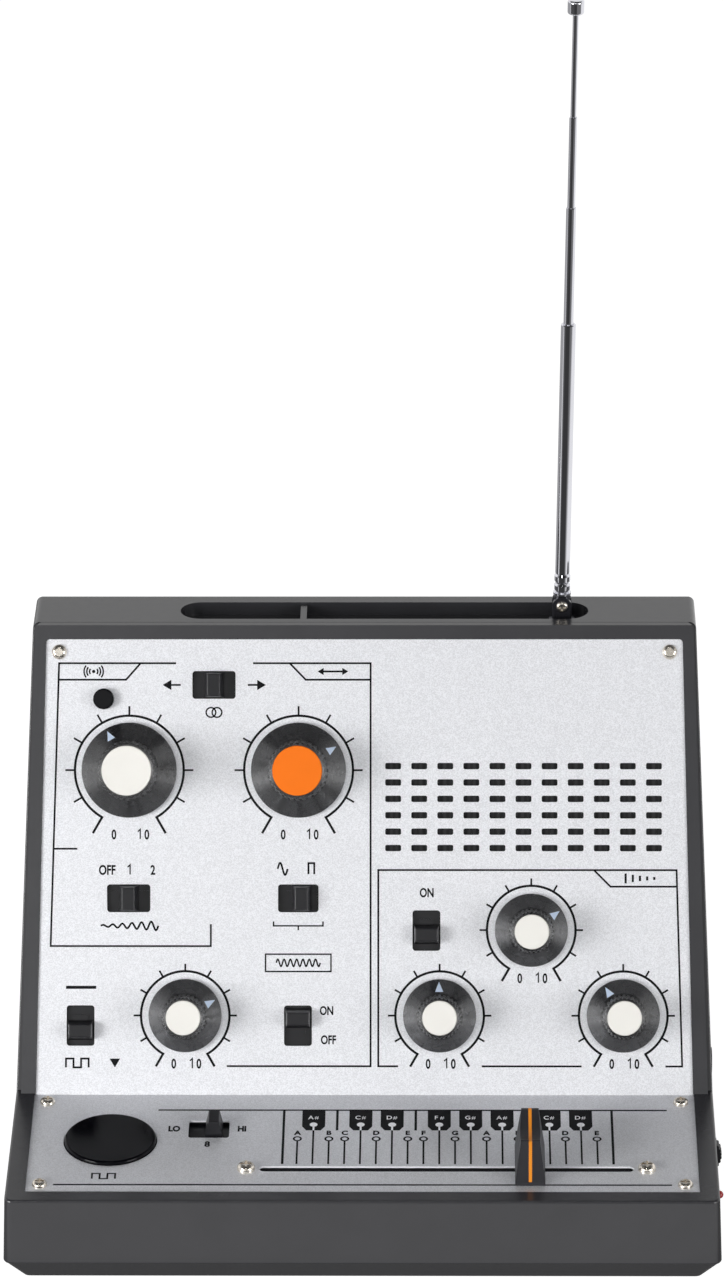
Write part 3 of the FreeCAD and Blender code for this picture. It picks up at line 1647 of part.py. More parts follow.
def add_volume_control():
    radius = wheel_diameter / 2
    half = wheel_thickness / 2
    wheel = upright(radius, (-half, half))
    notches = []
    for index in range(wheel_notch_count):
        notch = upright(0.6, (-half - 1, half + 1), radius + 0.6 - wheel_notch_depth, 0)
        notch.rotate(Vector(0, 0, 0), Z_AXIS, index * 360 / wheel_notch_count)
        notches.append(notch)
    shaft = upright(volume_shaft_diameter / 2, (half, half + volume_pot_depth))
    parts["volume_wheel"] = on(wheel_frame(), wheel.cut(notches).fuse(shaft).removeSplitter())
    start = half + fit_gap
    body = centred_block(0, 0, volume_pot_width, volume_pot_height, (start, start + volume_pot_depth))
    bore = upright(volume_shaft_diameter / 2 + running_gap, (start - 1, start + volume_pot_depth - 0.2))
    arm_reach = wheel_frame().Base.x - board_half_width() + volume_pot_width
    arm = block((-arm_reach, 0), (-volume_pot_height / 2, -volume_pot_height / 2 + 1.5),
                (start, start + volume_pot_depth))
    parts["volume_pot"] = on(wheel_frame(), body.fuse(arm).removeSplitter().cut(bore))


def add_output_jack():
    """Round collar outside the wall, threaded neck through it, body inside."""
    side = half_width(side_height)
    inside = half_width(side_height + jack_body_size / 2) - wall - seat_gap
    collar_start = half_width(side_height - jack_collar_diameter / 2) + seat_gap
    collar = upright(jack_collar_diameter / 2, (collar_start, side + jack_collar_reach))
    neck = upright(jack_thread_diameter / 2, (inside - 1, collar_start + 0.1))
    body = centred_block(0, 0, jack_body_size, jack_body_size, (inside - jack_body_length, inside))
    end = side + jack_collar_reach
    bore = upright(jack_bore_diameter / 2, (end - jack_bore_depth, end + 1))
    jack = body.fuse([neck, collar]).removeSplitter().cut(bore)
    frame = FreeCAD.Placement(
        Vector(0, jack_y, side_height), FreeCAD.Rotation(Y_AXIS, 90))
    parts["output_jack"] = on(frame, jack)


# ---------------------------------------------------------------- rear cover and batteries

def battery_room():
    """(width, height, depth) of the space inside the battery box."""
    width = cell_length + cell_nub_length + 2 * (contact_thickness + spring_length)
    height = cell_count * (cell_diameter + cell_gap) + cell_gap
    depth = cell_diameter + 2 * cell_gap
    return width, height, depth


def battery_box():
    """Block that holds the battery room, joined to the rear cover."""
    width, height, depth = battery_room()
    back = back_y - wall / 2
    low = battery_floor_height - battery_wall
    return block(
        (battery_x - width / 2 - battery_wall, battery_x + width / 2 + battery_wall),
        (back_y - door_thickness - depth - battery_wall, back),
        (low, battery_floor_height + height + battery_wall))


def battery_hollow():
    width, height, depth = battery_room()
    return block(
        (battery_x - width / 2, battery_x + width / 2), (back_y - door_thickness - depth, back_y + 1),
        (battery_floor_height, battery_floor_height + height))


def door_size():
    width, height, _ = battery_room()
    return width + 2 * door_ledge, height + 2 * door_ledge


def door_seat():
    """Shallow step round the battery opening, for the door."""
    width, height = door_size()
    middle = battery_floor_height + battery_room()[1] / 2
    return block(
        (battery_x - width / 2, battery_x + width / 2), (back_y - door_thickness, back_y + 1),
        (middle - height / 2, middle + height / 2))


def rear_plate():
    low = plinth_top + 2 * seat_gap
    high = case_height - wall - cover_gap
    inset = wall + cover_gap
    corners = []
    for side, z in ((-1, low), (1, low), (1, high), (-1, high)):
        corners.append(Vector(side * (half_width(z) - inset), back_y - wall, z))
    return face_of(corners).extrude(Vector(0, wall, 0))


def add_rear_cover():
    plate = rear_plate().fuse(battery_box()).removeSplitter()
    cutters = [battery_hollow(), door_seat()]
    radius = screw_shank_diameter / 2 + seat_gap
    for x, z in rear_screw_spots():
        cutters.append(rear_hole(x, z, radius, (back_y - wall - 1, back_y + 1)))
    through = (back_y - wall - 1, back_y + 1)
    for index in range(vent_count):
        for side in (-1, 1):
            x = side * (vent_pitch * (index + 1))
            z_range = (vent_centre_z - vent_length / 2, vent_centre_z + vent_length / 2)
            cutters.append(block((x - vent_width / 2, x + vent_width / 2), through, z_range))
    nose = inlet_nose_diameter / 2 + seat_gap
    cutters.append(rear_hole(inlet_x, inlet_z, nose, through))
    pin_reach = door_size()[0] / 2 + door_pin_reach + fit_gap
    cutters.append(across(door_pin_radius + running_gap, pin_reach, *door_hinge_line()))
    parts["rear_cover"] = plate.cut(cutters)


def door_round():
    """Radius of the door's rounded lower edge."""
    return (door_thickness - fit_gap) / 2


def door_hinge_line():
    """(y, z) of the line that the door turns about."""
    middle = battery_floor_height + battery_room()[1] / 2
    low = middle - door_size()[1] / 2 + fit_gap
    return back_y - door_round(), low + door_round()


def across(radius, half_length, y, z):
    """Cylinder along X through the middle of the battery door."""
    start = Vector(battery_x - half_length, y, z)
    return Part.makeCylinder(radius, 2 * half_length, start, X_AXIS)


def add_battery_door():
    """Flush door, hinged along its lower edge, with finger ribs near its top."""
    width, height = door_size()
    middle = battery_floor_height + battery_room()[1] / 2
    half = width / 2 - fit_gap
    high = middle + height / 2 - fit_gap
    y, z = door_hinge_line()
    plate = block((battery_x - half, battery_x + half), (y - door_round(), back_y), (z, high))
    edge = across(door_round(), half, y, z)
    pin = across(door_pin_radius, width / 2 + door_pin_reach, y, z)
    ribs = []
    for index in range(door_rib_count):
        low = high - (index + 2) * door_rib_pitch
        x_range = (battery_x - width / 6, battery_x + width / 6)
        y_range = (back_y - door_rib_height, back_y + door_rib_height)
        ribs.append(block(x_range, y_range, (low, low + door_rib_pitch / 2)))
    parts["battery_door"] = plate.fuse([edge, pin] + ribs).removeSplitter()


def cell_heights():
    step = cell_diameter + cell_gap
    first = battery_floor_height + cell_gap + cell_diameter / 2
    return [first + index * step for index in range(cell_count)]


def add_batteries():
    """Four round cells across the box, turned end for end in turn."""
    width, _, depth = battery_room()
    y = back_y - door_thickness - depth / 2
    cells = []
    contacts = []
    for index, z in enumerate(cell_heights()):
        way = 1 if index % 2 == 0 else -1
        spring_end = battery_x - way * (width / 2 - contact_thickness - spring_length)
        plate_end = battery_x + way * (width / 2 - contact_thickness)
        cell = Part.makeCylinder(cell_diameter / 2, cell_length, Vector(spring_end, y, z), X_AXIS * way)
        nub_start = Vector(spring_end + way * cell_length, y, z)
        nub = Part.makeCylinder(cell_nub_diameter / 2, cell_nub_length - seat_gap, nub_start, X_AXIS * way)
        cells.append(cell.fuse(nub).removeSplitter())
        contacts.append(contact_plate(plate_end, way, y, z))
        contacts.append(spring_contact(spring_end, -way, y, z))
    parts["batteries"] = group(cells)
    parts["battery_contacts"] = group(contacts)


def contact_plate(x, way, y, z):
    half = contact_size / 2
    ends = sorted((x, x + way * contact_thickness))
    return block(ends, (y - half, y + half), (z - half, z + half))


def spring_contact(x, way, y, z):
    """Contact plate with its conical spring."""
    start = x + way * seat_gap
    length = spring_length - seat_gap
    cone = Part.makeCone(2.2, 3.6, length, Vector(start, y, z), X_AXIS * way)
    bore = Part.makeCone(1.4, 2.8, length, Vector(start, y, z), X_AXIS * way)
    plate = contact_plate(x + way * spring_length, way, y, z)
    return cone.cut(bore).fuse(plate).removeSplitter()


def add_dc_inlet():
    """Barrel inlet behind the rear cover, its nose flush with the outside."""
    inside = back_y - wall - seat_gap
    half = inlet_body_width / 2
    body = block(
        (inlet_x - half, inlet_x + half), (inside - inlet_body_depth, inside),
        (inlet_z - half, inlet_z + half))
    nose = rear_hole(inlet_x, inlet_z, inlet_nose_diameter / 2, (inside - 1, back_y))
    bore = rear_hole(inlet_x, inlet_z, inlet_bore_diameter / 2, (back_y - inlet_bore_depth, back_y + 1))
    pin_y = (back_y - inlet_bore_depth - 1, back_y - wall)
    pin = rear_hole(inlet_x, inlet_z, inlet_pin_diameter / 2, pin_y)
    parts["dc_inlet"] = body.fuse(nose).removeSplitter().cut(bore).fuse(pin)


# ---------------------------------------------------------------- build

def build():
    add_housing()
    add_base_cover()
    add_feet()
    add_case_screws()
    add_bezel()
    add_upper_panel()
    add_lower_panel()
    add_panel_screws()
    add_grille_cloth()
    add_speaker()
    add_boards()
    add_inner_screws()
    add_knobs()
    add_switches()
    add_buttons()
    add_fader()
    add_antenna()
    add_led()
    add_volume_control()
    add_output_jack()
    add_rear_cover()
    add_battery_door()
    add_batteries()
    add_dc_inlet()


def export():
    os.makedirs("parts", exist_ok=True)
    for name, shape in parts.items():
        shape.exportStep("parts/" + name + ".step")


build()
export()
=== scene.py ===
import json
import math

import bmesh
import bpy
from mathutils import Matrix, Vector
from mathutils.bvhtree import BVHTree


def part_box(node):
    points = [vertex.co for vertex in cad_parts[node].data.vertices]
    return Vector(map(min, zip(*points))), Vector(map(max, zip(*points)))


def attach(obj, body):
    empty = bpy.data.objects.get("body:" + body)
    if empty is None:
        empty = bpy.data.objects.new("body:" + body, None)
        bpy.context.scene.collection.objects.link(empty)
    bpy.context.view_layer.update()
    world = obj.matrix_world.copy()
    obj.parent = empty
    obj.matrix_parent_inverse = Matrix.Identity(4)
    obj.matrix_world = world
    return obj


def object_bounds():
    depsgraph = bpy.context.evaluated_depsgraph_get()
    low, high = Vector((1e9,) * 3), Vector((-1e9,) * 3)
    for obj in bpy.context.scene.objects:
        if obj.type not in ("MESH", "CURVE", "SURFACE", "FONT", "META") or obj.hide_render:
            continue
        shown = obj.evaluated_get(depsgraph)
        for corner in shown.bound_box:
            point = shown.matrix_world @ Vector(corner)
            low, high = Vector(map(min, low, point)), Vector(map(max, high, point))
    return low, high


# Finishes, printed scales, studio and camera of a desktop theremin.
# Lengths are metres; MM turns a length written in millimetres into metres.

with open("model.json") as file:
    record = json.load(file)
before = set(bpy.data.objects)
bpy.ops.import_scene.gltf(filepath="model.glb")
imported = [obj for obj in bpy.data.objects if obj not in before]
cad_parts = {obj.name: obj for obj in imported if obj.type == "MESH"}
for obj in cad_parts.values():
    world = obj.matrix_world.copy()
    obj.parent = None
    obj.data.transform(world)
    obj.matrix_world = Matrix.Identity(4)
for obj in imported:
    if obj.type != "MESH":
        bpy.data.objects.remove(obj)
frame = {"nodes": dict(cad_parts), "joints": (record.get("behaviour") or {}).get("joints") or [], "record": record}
cad_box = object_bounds()

MM = 0.001

BIG_KNOBS = ("pitch_antenna_knob", "pitch_slide_knob")
SMALL_KNOBS = ("time_knob", "level_knob", "feedback_knob", "decay_knob")

nodes = frame["nodes"]
joints = {joint["name"]: joint for joint in frame["joints"]}


# ---------------------------------------------------------------- panels of the case

class Panel:
    """Axes on a flat panel: x to the right, y up the panel from the crease, z out of it."""

    def __init__(self, normal, node):
        self.normal = normal.normalized()
        self.right = Vector((1, 0, 0))
        self.up = self.normal.cross(self.right)
        self.height = max(self.normal.dot(v.co) for v in nodes[node].data.vertices)
        self.crease = Vector((0, 0, 0))

    def at(self, x, y, lift=0.0):
        """Point of the object's frame for millimetres on the panel."""
        return self.crease + (self.right * x + self.up * y + self.normal * lift) * MM

    def flat(self, point):
        """Millimetres on the panel under a point of the object's frame."""
        away = (Vector(point) - self.crease) / MM
        return away.dot(self.right), away.dot(self.up)

    def matrix(self, x, y, lift):
        """Placement whose axes are the panel's, at millimetres on the panel."""
        turn = Matrix((self.right, self.up, self.normal)).transposed().to_4x4()
        return Matrix.Translation(self.at(x, y, lift)) @ turn


def crease_of(first, second):
    """The point at x = 0 on both panels' surfaces."""
    a, b = first.normal, second.normal
    spread = a.y * b.z - a.z * b.y
    y = (first.height * b.z - a.z * second.height) / spread
    z = (a.y * second.height - first.height * b.y) / spread
    return Vector((0, y, z))


slope = Panel(Vector(joints["time_knob_turn"]["axis"]), "upper_panel")
deck = Panel(-Vector(joints["trigger_press"]["axis"]), "lower_panel")
slope.crease = crease_of(slope, deck)
deck.crease = slope.crease.copy()


# ---------------------------------------------------------------- finishes

# Values between which most of a noise lies
NOISE_LOW = 0.3
NOISE_HIGH = 0.7
FINE_DETAIL = 2.0

# Drift of the colour and patches of the gloss: size in millimetres, detail and share
DRIFT_SIZE = 18.0
DRIFT_DETAIL = 3.0
GLOSS_SIZE = 3.0
GLOSS_DETAIL = 4.0
GLOSS_SHARE = 0.12

# Sockets of a Mix node that mixes colours
MIX_SHARE = 0
MIX_FIRST = 6
MIX_SECOND = 7
MIX_RESULT = 2


class Finish:
    """Node tree of one surface finish, in the piece's own coordinates."""

    def __init__(self, name):
        self.material = bpy.data.materials.new(name)
        self.material.use_nodes = True
        self.tree = self.material.node_tree
        self.shader = self.tree.nodes["Principled BSDF"]
        self.place = self.node("ShaderNodeTexCoord").outputs["Object"]

    def node(self, kind, **inputs):
        made = self.tree.nodes.new(kind)
        for name, value in inputs.items():
            made.inputs[name.replace("_", " ")].default_value = value
        return made

    def link(self, output, socket):
        self.tree.links.new(output, socket)

    def set(self, **inputs):
        """Fixed values on the shader's own sockets."""
        for name, value in inputs.items():
            self.shader.inputs[name.replace("_", " ")].default_value = value

    def noise(self, size, detail=FINE_DETAIL):
        """Soft noise with features about size millimetres across."""
        made = self.node("ShaderNodeTexNoise", Scale=1 / (size * MM), Detail=detail)
        self.link(self.place, made.inputs["Vector"])
        return made.outputs["Fac"]

    def flakes(self, size):
        """A random value for each cell about size millimetres across."""
        made = self.node("ShaderNodeTexVoronoi", Scale=1 / (size * MM))
        self.link(self.place, made.inputs["Vector"])
        split = self.node("ShaderNodeSeparateColor")
        self.link(made.outputs["Color"], split.inputs["Color"])
        return split.outputs["Red"]

    def between(self, driver, low, high, start=NOISE_LOW, end=NOISE_HIGH):
        """The driver's range start to end, as low to high."""
        made = self.node("ShaderNodeMapRange", From_Min=start, From_Max=end, To_Min=low, To_Max=high)
        self.link(driver, made.inputs["Value"])
        return made.outputs["Result"]

    def colours(self, driver, dark, light):
        """From dark to light as the driver rises."""
        ramp = self.node("ShaderNodeValToRGB")
        stops = zip(ramp.color_ramp.elements, (NOISE_LOW, NOISE_HIGH), (dark, light))
        for stop, position, colour in stops:
            stop.position = position
            stop.color = (*colour, 1)
        self.link(driver, ramp.inputs["Fac"])
        return ramp.outputs["Color"]

    def mixed(self, share, low, high):
        """From one colour, fixed or patterned, to a patterned one, by a share."""
        made = self.node("ShaderNodeMix")
        made.data_type = "RGBA"
        if isinstance(low, tuple):
            made.inputs[MIX_FIRST].default_value = (*low, 1)
        else:
            self.link(low, made.inputs[MIX_FIRST])
        self.link(share, made.inputs[MIX_SHARE])
        self.link(high, made.inputs[MIX_SECOND])
        return made.outputs[MIX_RESULT]

    def vector_math(self, kind, source, vector):
        """A vector output worked with a fixed vector."""
        made = self.node("ShaderNodeVectorMath")
        made.operation = kind
        made.inputs[1].default_value = vector
        self.link(source, made.inputs[0])
        return made

    def along(self, axis):
        """Distance from the origin along an axis."""
        return self.vector_math("DOT_PRODUCT", self.place, axis).outputs["Value"]

    def offset(self, point):
        """The way from a point."""
        return self.vector_math("SUBTRACT", self.place, point).outputs["Vector"]

    def facing(self, axis):
        """1 where the surface faces along an axis, 0 where it stands along it."""
        normal = self.node("ShaderNodeTexCoord").outputs["Normal"]
        return self.vector_math("DOT_PRODUCT", normal, axis).outputs["Value"]

    def steps(self, value, start, width):
        """0 below start, 1 above it."""
        return self.between(value, 0.0, 1.0, start - width, start + width)

    def paint(self, colour):
        self.link(colour, self.shader.inputs["Base Color"])

    def gloss(self, driver, low, high):
        self.link(self.between(driver, low, high), self.shader.inputs["Roughness"])

    def relief(self, driver, depth):
        """Fine relief, depth in millimetres."""
        bump = self.node("ShaderNodeBump", Distance=depth * MM, Strength=1.0)
        self.link(driver, bump.inputs["Height"])
        self.link(bump.outputs["Normal"], self.shader.inputs["Normal"])


def screen(*values):
    """Linear colour of a colour written as it shows on a screen, 0 to 255."""
    shares = [value / 255 for value in values]
    return tuple(s / 12.92 if s <= 0.04045 else ((s + 0.055) / 1.055) ** 2.4 for s in shares)


def shaded(colour, share):
    return tuple(channel * share for channel in colour)


def surface(name, colour, roughness, grain=0.5, depth=0.01, drift=0.06, metal=0.0, specular=0.5):
    """Moulded or bare surface: slight colour drift, uneven gloss and a fine grain.

    The colour is the one on a screen; the grain's size and depth are millimetres.
    """
    made = Finish(name)
    base = screen(*colour)
    patches = made.noise(DRIFT_SIZE, DRIFT_DETAIL)
    made.paint(made.colours(patches, shaded(base, 1 - drift), shaded(base, 1 + drift)))
    wear = made.noise(GLOSS_SIZE, GLOSS_DETAIL)
    made.gloss(wear, roughness * (1 - GLOSS_SHARE), roughness * (1 + GLOSS_SHARE))
    made.relief(made.noise(grain), depth)
    made.set(Metallic=metal, Specular_IOR_Level=specular)
    return made


def plain_finish(name, colour, roughness, **options):
    return surface(name, colour, roughness, **options).material


# Silver paint: colours on a screen, the black being painted shade on the cut edges, shares by which its
# flakes shade them on the flat and on the rims, gloss, and millimetres of flakes, grain and the silver top layer
SILVER = (244, 245, 249)
# The deck's silver is a darker copy of the same paint: painted shade for the less light the near-flat deck gets
DECK_SILVER_SHADED = (237, 238, 242)
# Black of the cut edges below the top layer: painted shade
EDGE_SHADE_BLACK = (24, 24, 26)
FLAT_SHADES = (0.89, 1.06)
RIM_SHADES = (0.98, 1.08)
SILVER_ROUGHNESS = (0.4, 0.54)
SILVER_METAL = 0.65
SILVER_SPECULAR = 0.35
FLAKE = 0.28
PAINT_GRAIN = 0.3
PAINT_RELIEF = 0.006
SHEET = 0.7
SHEET_EDGE = 0.03
FLAT_FACING = 0.7
FLAT_FACING_EDGE = 0.05


def silver_paint(panel, name, colour):
    """Fine metal-flake paint in the panel's top layer; below that layer the cut edges are painted black as painted
    shade.
    """
    made = Finish(name)
    flake = made.flakes(FLAKE)
    silver = screen(*colour)
    skin = made.colours(flake, *[shaded(silver, share) for share in FLAT_SHADES])
    bare = made.colours(flake, *[shaded(silver, share) for share in RIM_SHADES])
    flat = made.steps(made.facing(panel.normal), FLAT_FACING, FLAT_FACING_EDGE)
    # Below the top layer the cut edges take the black: painted shade along the panel's edges
    above = made.steps(made.along(panel.normal), panel.height - SHEET * MM, SHEET_EDGE * MM)
    made.paint(made.mixed(above, screen(*EDGE_SHADE_BLACK), made.mixed(flat, bare, skin)))
    made.link(made.between(flat, 0.0, SILVER_METAL, 0.0, 1.0), made.shader.inputs["Metallic"])
    made.gloss(flake, *SILVER_ROUGHNESS)
    made.relief(made.noise(PAINT_GRAIN), PAINT_RELIEF)
    made.set(Specular_IOR_Level=SILVER_SPECULAR)
    return made.material


def turned_plastic(name):
    """Gloss black with the fine rings that turning leaves around the knob's axis."""
    made = surface(name + "_turned_black", (4, 4, 8), 0.27, grain=0.25, depth=0.002, specular=1.0)
    made.link(made.offset(joints[name + "_turn"]["pos_m"]), made.shader.inputs["Tangent"])
    made.set(Anisotropic=0.97, IOR=1.62)
    return made.material


# Cloth: millimetres from thread to thread and the threads' relief; a wave texture
# runs through this many radians in one unit of its coordinates
THREAD_PITCH = 2.17
THREAD_RELIEF = 0.1
WAVE_RADIANS = 20


def speaker_cloth():
    """Woven cloth behind the slots."""
    made = Finish("woven_black_cloth")
    warp = made.node("ShaderNodeTexWave", Scale=2 * math.pi / (WAVE_RADIANS * THREAD_PITCH * MM))
    warp.bands_direction = "X"
    made.link(made.place, warp.inputs["Vector"])
    made.paint(made.colours(warp.outputs["Fac"], screen(14, 14, 15), screen(34, 34, 36)))
    made.relief(warp.outputs["Fac"], THREAD_RELIEF)
    made.set(Roughness=0.9, Sheen_Weight=0.3)
    return made.material


def led_lens():
    """Clear red lens with a faint glow."""
    made = surface("red_led_lens", (150, 22, 26), 0.12, grain=1.0, depth=0.001, drift=0.05)
    made.set(Emission_Color=(*screen(255, 40, 30), 1), Emission_Strength=0.06, Coat_Weight=0.6)
    return made.material


# Finishes by material slot
FINISHES = {
    "case_plastic": plain_finish(
        "satin_charcoal_plastic", (50, 50, 53), 0.24, grain=0.32, depth=0.004, specular=0.6),
    "panel_silver": silver_paint(slope, "silver_flake_paint", SILVER),
    "nickel": plain_finish("warm_nickel", (228, 221, 210), 0.24, grain=0.35, metal=1.0),
    "rubber": plain_finish("black_rubber", (32, 32, 33), 0.75, grain=0.4, depth=0.02),
    "cloth": speaker_cloth(),
    "cap_cream": plain_finish(
        "off_white_insert", (237, 235, 229), 0.42, grain=0.3, depth=0.003, drift=0.02),
    "orange": plain_finish(
        "orange_insert", (246, 118, 8), 0.5, grain=0.3, depth=0.003, drift=0.03, specular=0.25),
    "switch_black": plain_finish("matt_black_plastic", (20, 20, 24), 0.36, grain=0.3, depth=0.006),
    "button_grey": plain_finish("satin_black_plastic", (3, 3, 7), 0.14, depth=0.0006, specular=0.16),
    "chrome": plain_finish(
        "bright_chrome", (222, 222, 228), 0.07, grain=2.0, depth=0.002, drift=0.02, metal=1.0),
    "board": plain_finish("green_circuit_board", (24, 78, 50), 0.4, grain=1.5, depth=0.02, drift=0.2),
    "zinc": plain_finish("zinc_plate", (168, 170, 174), 0.38, grain=0.6, metal=0.9),
    "magnet": plain_finish("sintered_magnet", (58, 56, 56), 0.6, depth=0.02),
    "paper": plain_finish("pressed_paper", (44, 42, 40), 0.85, grain=0.8, depth=0.05),
    "led_red": led_lens(),
    "battery_skin": plain_finish("battery_sleeve", (60, 86, 120), 0.35, grain=1.0, drift=0.15),
    "spring_metal": plain_finish(
        "spring_steel", (190, 188, 184), 0.25, grain=0.6, depth=0.005, metal=1.0),
}

# Pieces that have a finish of their own
OWN_FINISHES = {
    # The deck wears the darker copy of the silver, a painted shade
    "lower_panel": silver_paint(deck, "silver_flake_paint_deck_shaded", DECK_SILVER_SHADED),
    "fader_cap": plain_finish("satin_slider_cap", (40, 40, 44), 0.4, grain=0.3, depth=0.006),
    "antenna_swivel": plain_finish("dark_nickel", (74, 74, 80), 0.2, depth=0.003, metal=0.8),
    "fader_stripe": plain_finish("amber_stripe", (232, 140, 30), 0.4, grain=0.3, depth=0.003),
}
for knob in BIG_KNOBS + SMALL_KNOBS:
    OWN_FINISHES[knob] = turned_plastic(knob)

INK = plain_finish(
    "charcoal_ink", (14, 14, 17), 0.6, grain=0.25, depth=0.003, drift=0.05, specular=0.15)
POINTER_PAINT = plain_finish(
    "pale_blue_print", (206, 222, 244), 0.5, grain=0.3, depth=0.003, drift=0.03)


def dress_cad_nodes():
    slots = {row["node"]: row["material_slot"] for row in frame["record"]["subparts"]}
    for name, piece in nodes.items():
        finish = OWN_FINISHES[name] if name in OWN_FINISHES else FINISHES[slots[name]]
        for index in range(len(piece.data.materials)):
            piece.data.materials[index] = finish


# ---------------------------------------------------------------- printing

# Printing, in millimetres: its foot below the paint, its top above it, and its line widths
INK_SINK = 0.02
INK_HEIGHT = 0.03
LIGHT_INK_HEIGHT = 0.06
LINE = 0.68
THIN_LINE = 0.55
RING_LINE = 0.86
DECK_LINE = 0.85
SCALE_LINE = 0.9
ONE_LINE = 0.46
BOLD_LINE = 1.1
BAR_LINE = 0.8

ARC_STEP = math.radians(4)
DISC_STEP = math.radians(12)
SHARPEST_MITRE = 0.3

# Letters: height, narrowing and thickening, steps of a curve, and the font's own capitals
LABEL_HEIGHT = 3.5
LETTER_SQUEEZE = 0.72
LETTER_WEIGHT = 0.03
LETTER_STEPS = 6
FONT_CAPITAL = 0.729


def way_at(angle):
    """Direction on a panel; angles are clockwise from the top."""
    return Vector((math.sin(angle), math.cos(angle)))


def turn_points(centre, radius, start, end, step=ARC_STEP):
    """Points on an arc."""
    count = math.ceil((end - start) / step)
    angles = [start + (end - start) * index / count for index in range(count + 1)]
    return [Vector(centre) + way_at(angle) * radius for angle in angles]


def circle_points(centre, radius, step=ARC_STEP):
    return turn_points(centre, radius, 0, 2 * math.pi, step)[:-1]


def joined_sides(points, width, closed):
    """Left and right edges of a line through points, with mitred corners."""
    left, right = [], []
    count = len(points)
    for index, point in enumerate(points):
        normals = []
        if closed or index > 0:
            normals.append((point - points[index - 1]).normalized())
        if closed or index < count - 1:
            normals.append((points[(index + 1) % count] - point).normalized())
        normals = [Vector((-n.y, n.x)) for n in normals]
        mean = sum(normals, Vector((0, 0))).normalized()
        reach = width / 2 / max(mean.dot(normals[0]), SHARPEST_MITRE)
        left.append(point + mean * reach)
        right.append(point - mean * reach)
    return left, right


def add_piece(name, data, body, material):
    """A mesh as a piece of the object that moves with a body."""
    piece = bpy.data.objects.new(name, data)
    bpy.context.scene.collection.objects.link(piece)
    data.materials.append(material)
    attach(piece, body)


def text_mesh(words, height, squeeze, weight):
    """Flat letters made solid, centred, with capitals of this height in millimetres."""
    curve = bpy.data.curves.new("letters", "FONT")
    curve.body = words
    curve.offset = weight
    curve.resolution_u = LETTER_STEPS
    letters = bpy.data.objects.new("letters", curve)
    bpy.context.scene.collection.objects.link(letters)
    bpy.context.view_layer.update()
    flat = bpy.data.meshes.new_from_object(letters)
    bpy.data.objects.remove(letters)
    bpy.data.curves.remove(curve)
    across = [v.co.x for v in flat.vertices]
    middle = (min(across) + max(across)) / 2
    scale = height / FONT_CAPITAL * MM
    solid = bmesh.new()
    solid.from_mesh(flat)
    for vert in solid.verts:
        x = (vert.co.x - middle) * scale * squeeze
        y = (vert.co.y - FONT_CAPITAL / 2) * scale
        vert.co = Vector((x, y, 0))
    faces = bmesh.ops.extrude_face_region(solid, geom=solid.faces[:])
    raised = [item for item in faces["geom"] if isinstance(item, bmesh.types.BMVert)]
    bmesh.ops.translate(solid, verts=raised, vec=(0, 0, (INK_SINK + INK_HEIGHT) * MM))
    solid.to_mesh(flat)
    solid.free()
    return flat


class Ink:
    """Printing on one panel, as one thin mesh that stands a hair over the surface."""

    def __init__(self, panel, sink=INK_SINK, height=INK_HEIGHT):
        self.panel = panel
        self.low = -sink
        self.high = height
        self.mesh = bmesh.new()

    def corner(self, point, lift):
        return self.mesh.verts.new(self.panel.at(point[0], point[1], lift))

    def band(self, left, right, closed):
        """Flat bar between two rows of points, closed to a loop or with two ends."""
        rows = []
        for a, b in zip(left, right):
            rows.append([self.corner(a, self.low), self.corner(a, self.high),
                         self.corner(b, self.high), self.corner(b, self.low)])
        count = len(rows)
        for index in range(count if closed else count - 1):
            first, second = rows[index], rows[(index + 1) % count]
            for j in range(4):
                k = (j + 1) % 4
                self.mesh.faces.new((first[j], first[k], second[k], second[j]))
        if not closed:
            self.mesh.faces.new(rows[0])
            self.mesh.faces.new(rows[-1][::-1])

    def line(self, points, width=LINE, closed=False):
        points = [Vector(point) for point in points]
        self.band(*joined_sides(points, width, closed), closed)

    def shape(self, points):
        """Filled outline."""
        low = [self.corner(point, self.low) for point in points]
        high = [self.corner(point, self.high) for point in points]
        self.mesh.faces.new(high)
        self.mesh.faces.new(low[::-1])
        count = len(points)
        for index in range(count):
            after = (index + 1) % count
            self.mesh.faces.new((low[index], low[after], high[after], high[index]))

    def ring(self, centre, radius, width=LINE):
        self.line(circle_points(centre, radius), width, closed=True)

    def disc(self, centre, radius):
        self.shape(circle_points(centre, radius, DISC_STEP))

    def text(self, words, x, y, height=LABEL_HEIGHT, squeeze=LETTER_SQUEEZE, weight=LETTER_WEIGHT):
        """Words centred on a point; height is that of the capitals."""
        flat = text_mesh(words, height, squeeze, weight)
        flat.transform(self.panel.matrix(x, y, self.low))
        self.mesh.from_mesh(flat)
        bpy.data.meshes.remove(flat)

    def finish(self, name, body, material, slot=None):
        bmesh.ops.recalc_face_normals(self.mesh, faces=self.mesh.faces)
        data = bpy.data.meshes.new(name)
        self.mesh.to_mesh(data)
        self.mesh.free()
        add_piece(name, data, body, material)


# Shares and sizes of the marks, in millimetres: the flag of a number one, points in one
# turn of a wave, and the length of an arrow's head over half its width
ONE_FLAG = (0.91, 0.84)
SINE_STEPS = 16
ARROW_HEAD = 1.7


def print_one(ink, x, y):
    """The number one, with its flag."""
    flag_x, flag_y = ONE_FLAG
    half = LABEL_HEIGHT / 2
    ink.line([(x - flag_x, y + half - flag_y), (x, y + half), (x, y - half)], ONE_LINE)


def sine_points(x, y, width, height, turns, growth=0.0):
    """Wave about a point; growth is the share by which its start is flatter than its end."""
    count = turns * SINE_STEPS
    points = []
    for index in range(count + 1):
        share = index / count
        swell = 1 - growth * (1 - share)
        rise = swell * height / 2 * math.sin(share * turns * 2 * math.pi)
        points.append((x - width / 2 + share * width, y + rise))
    return points


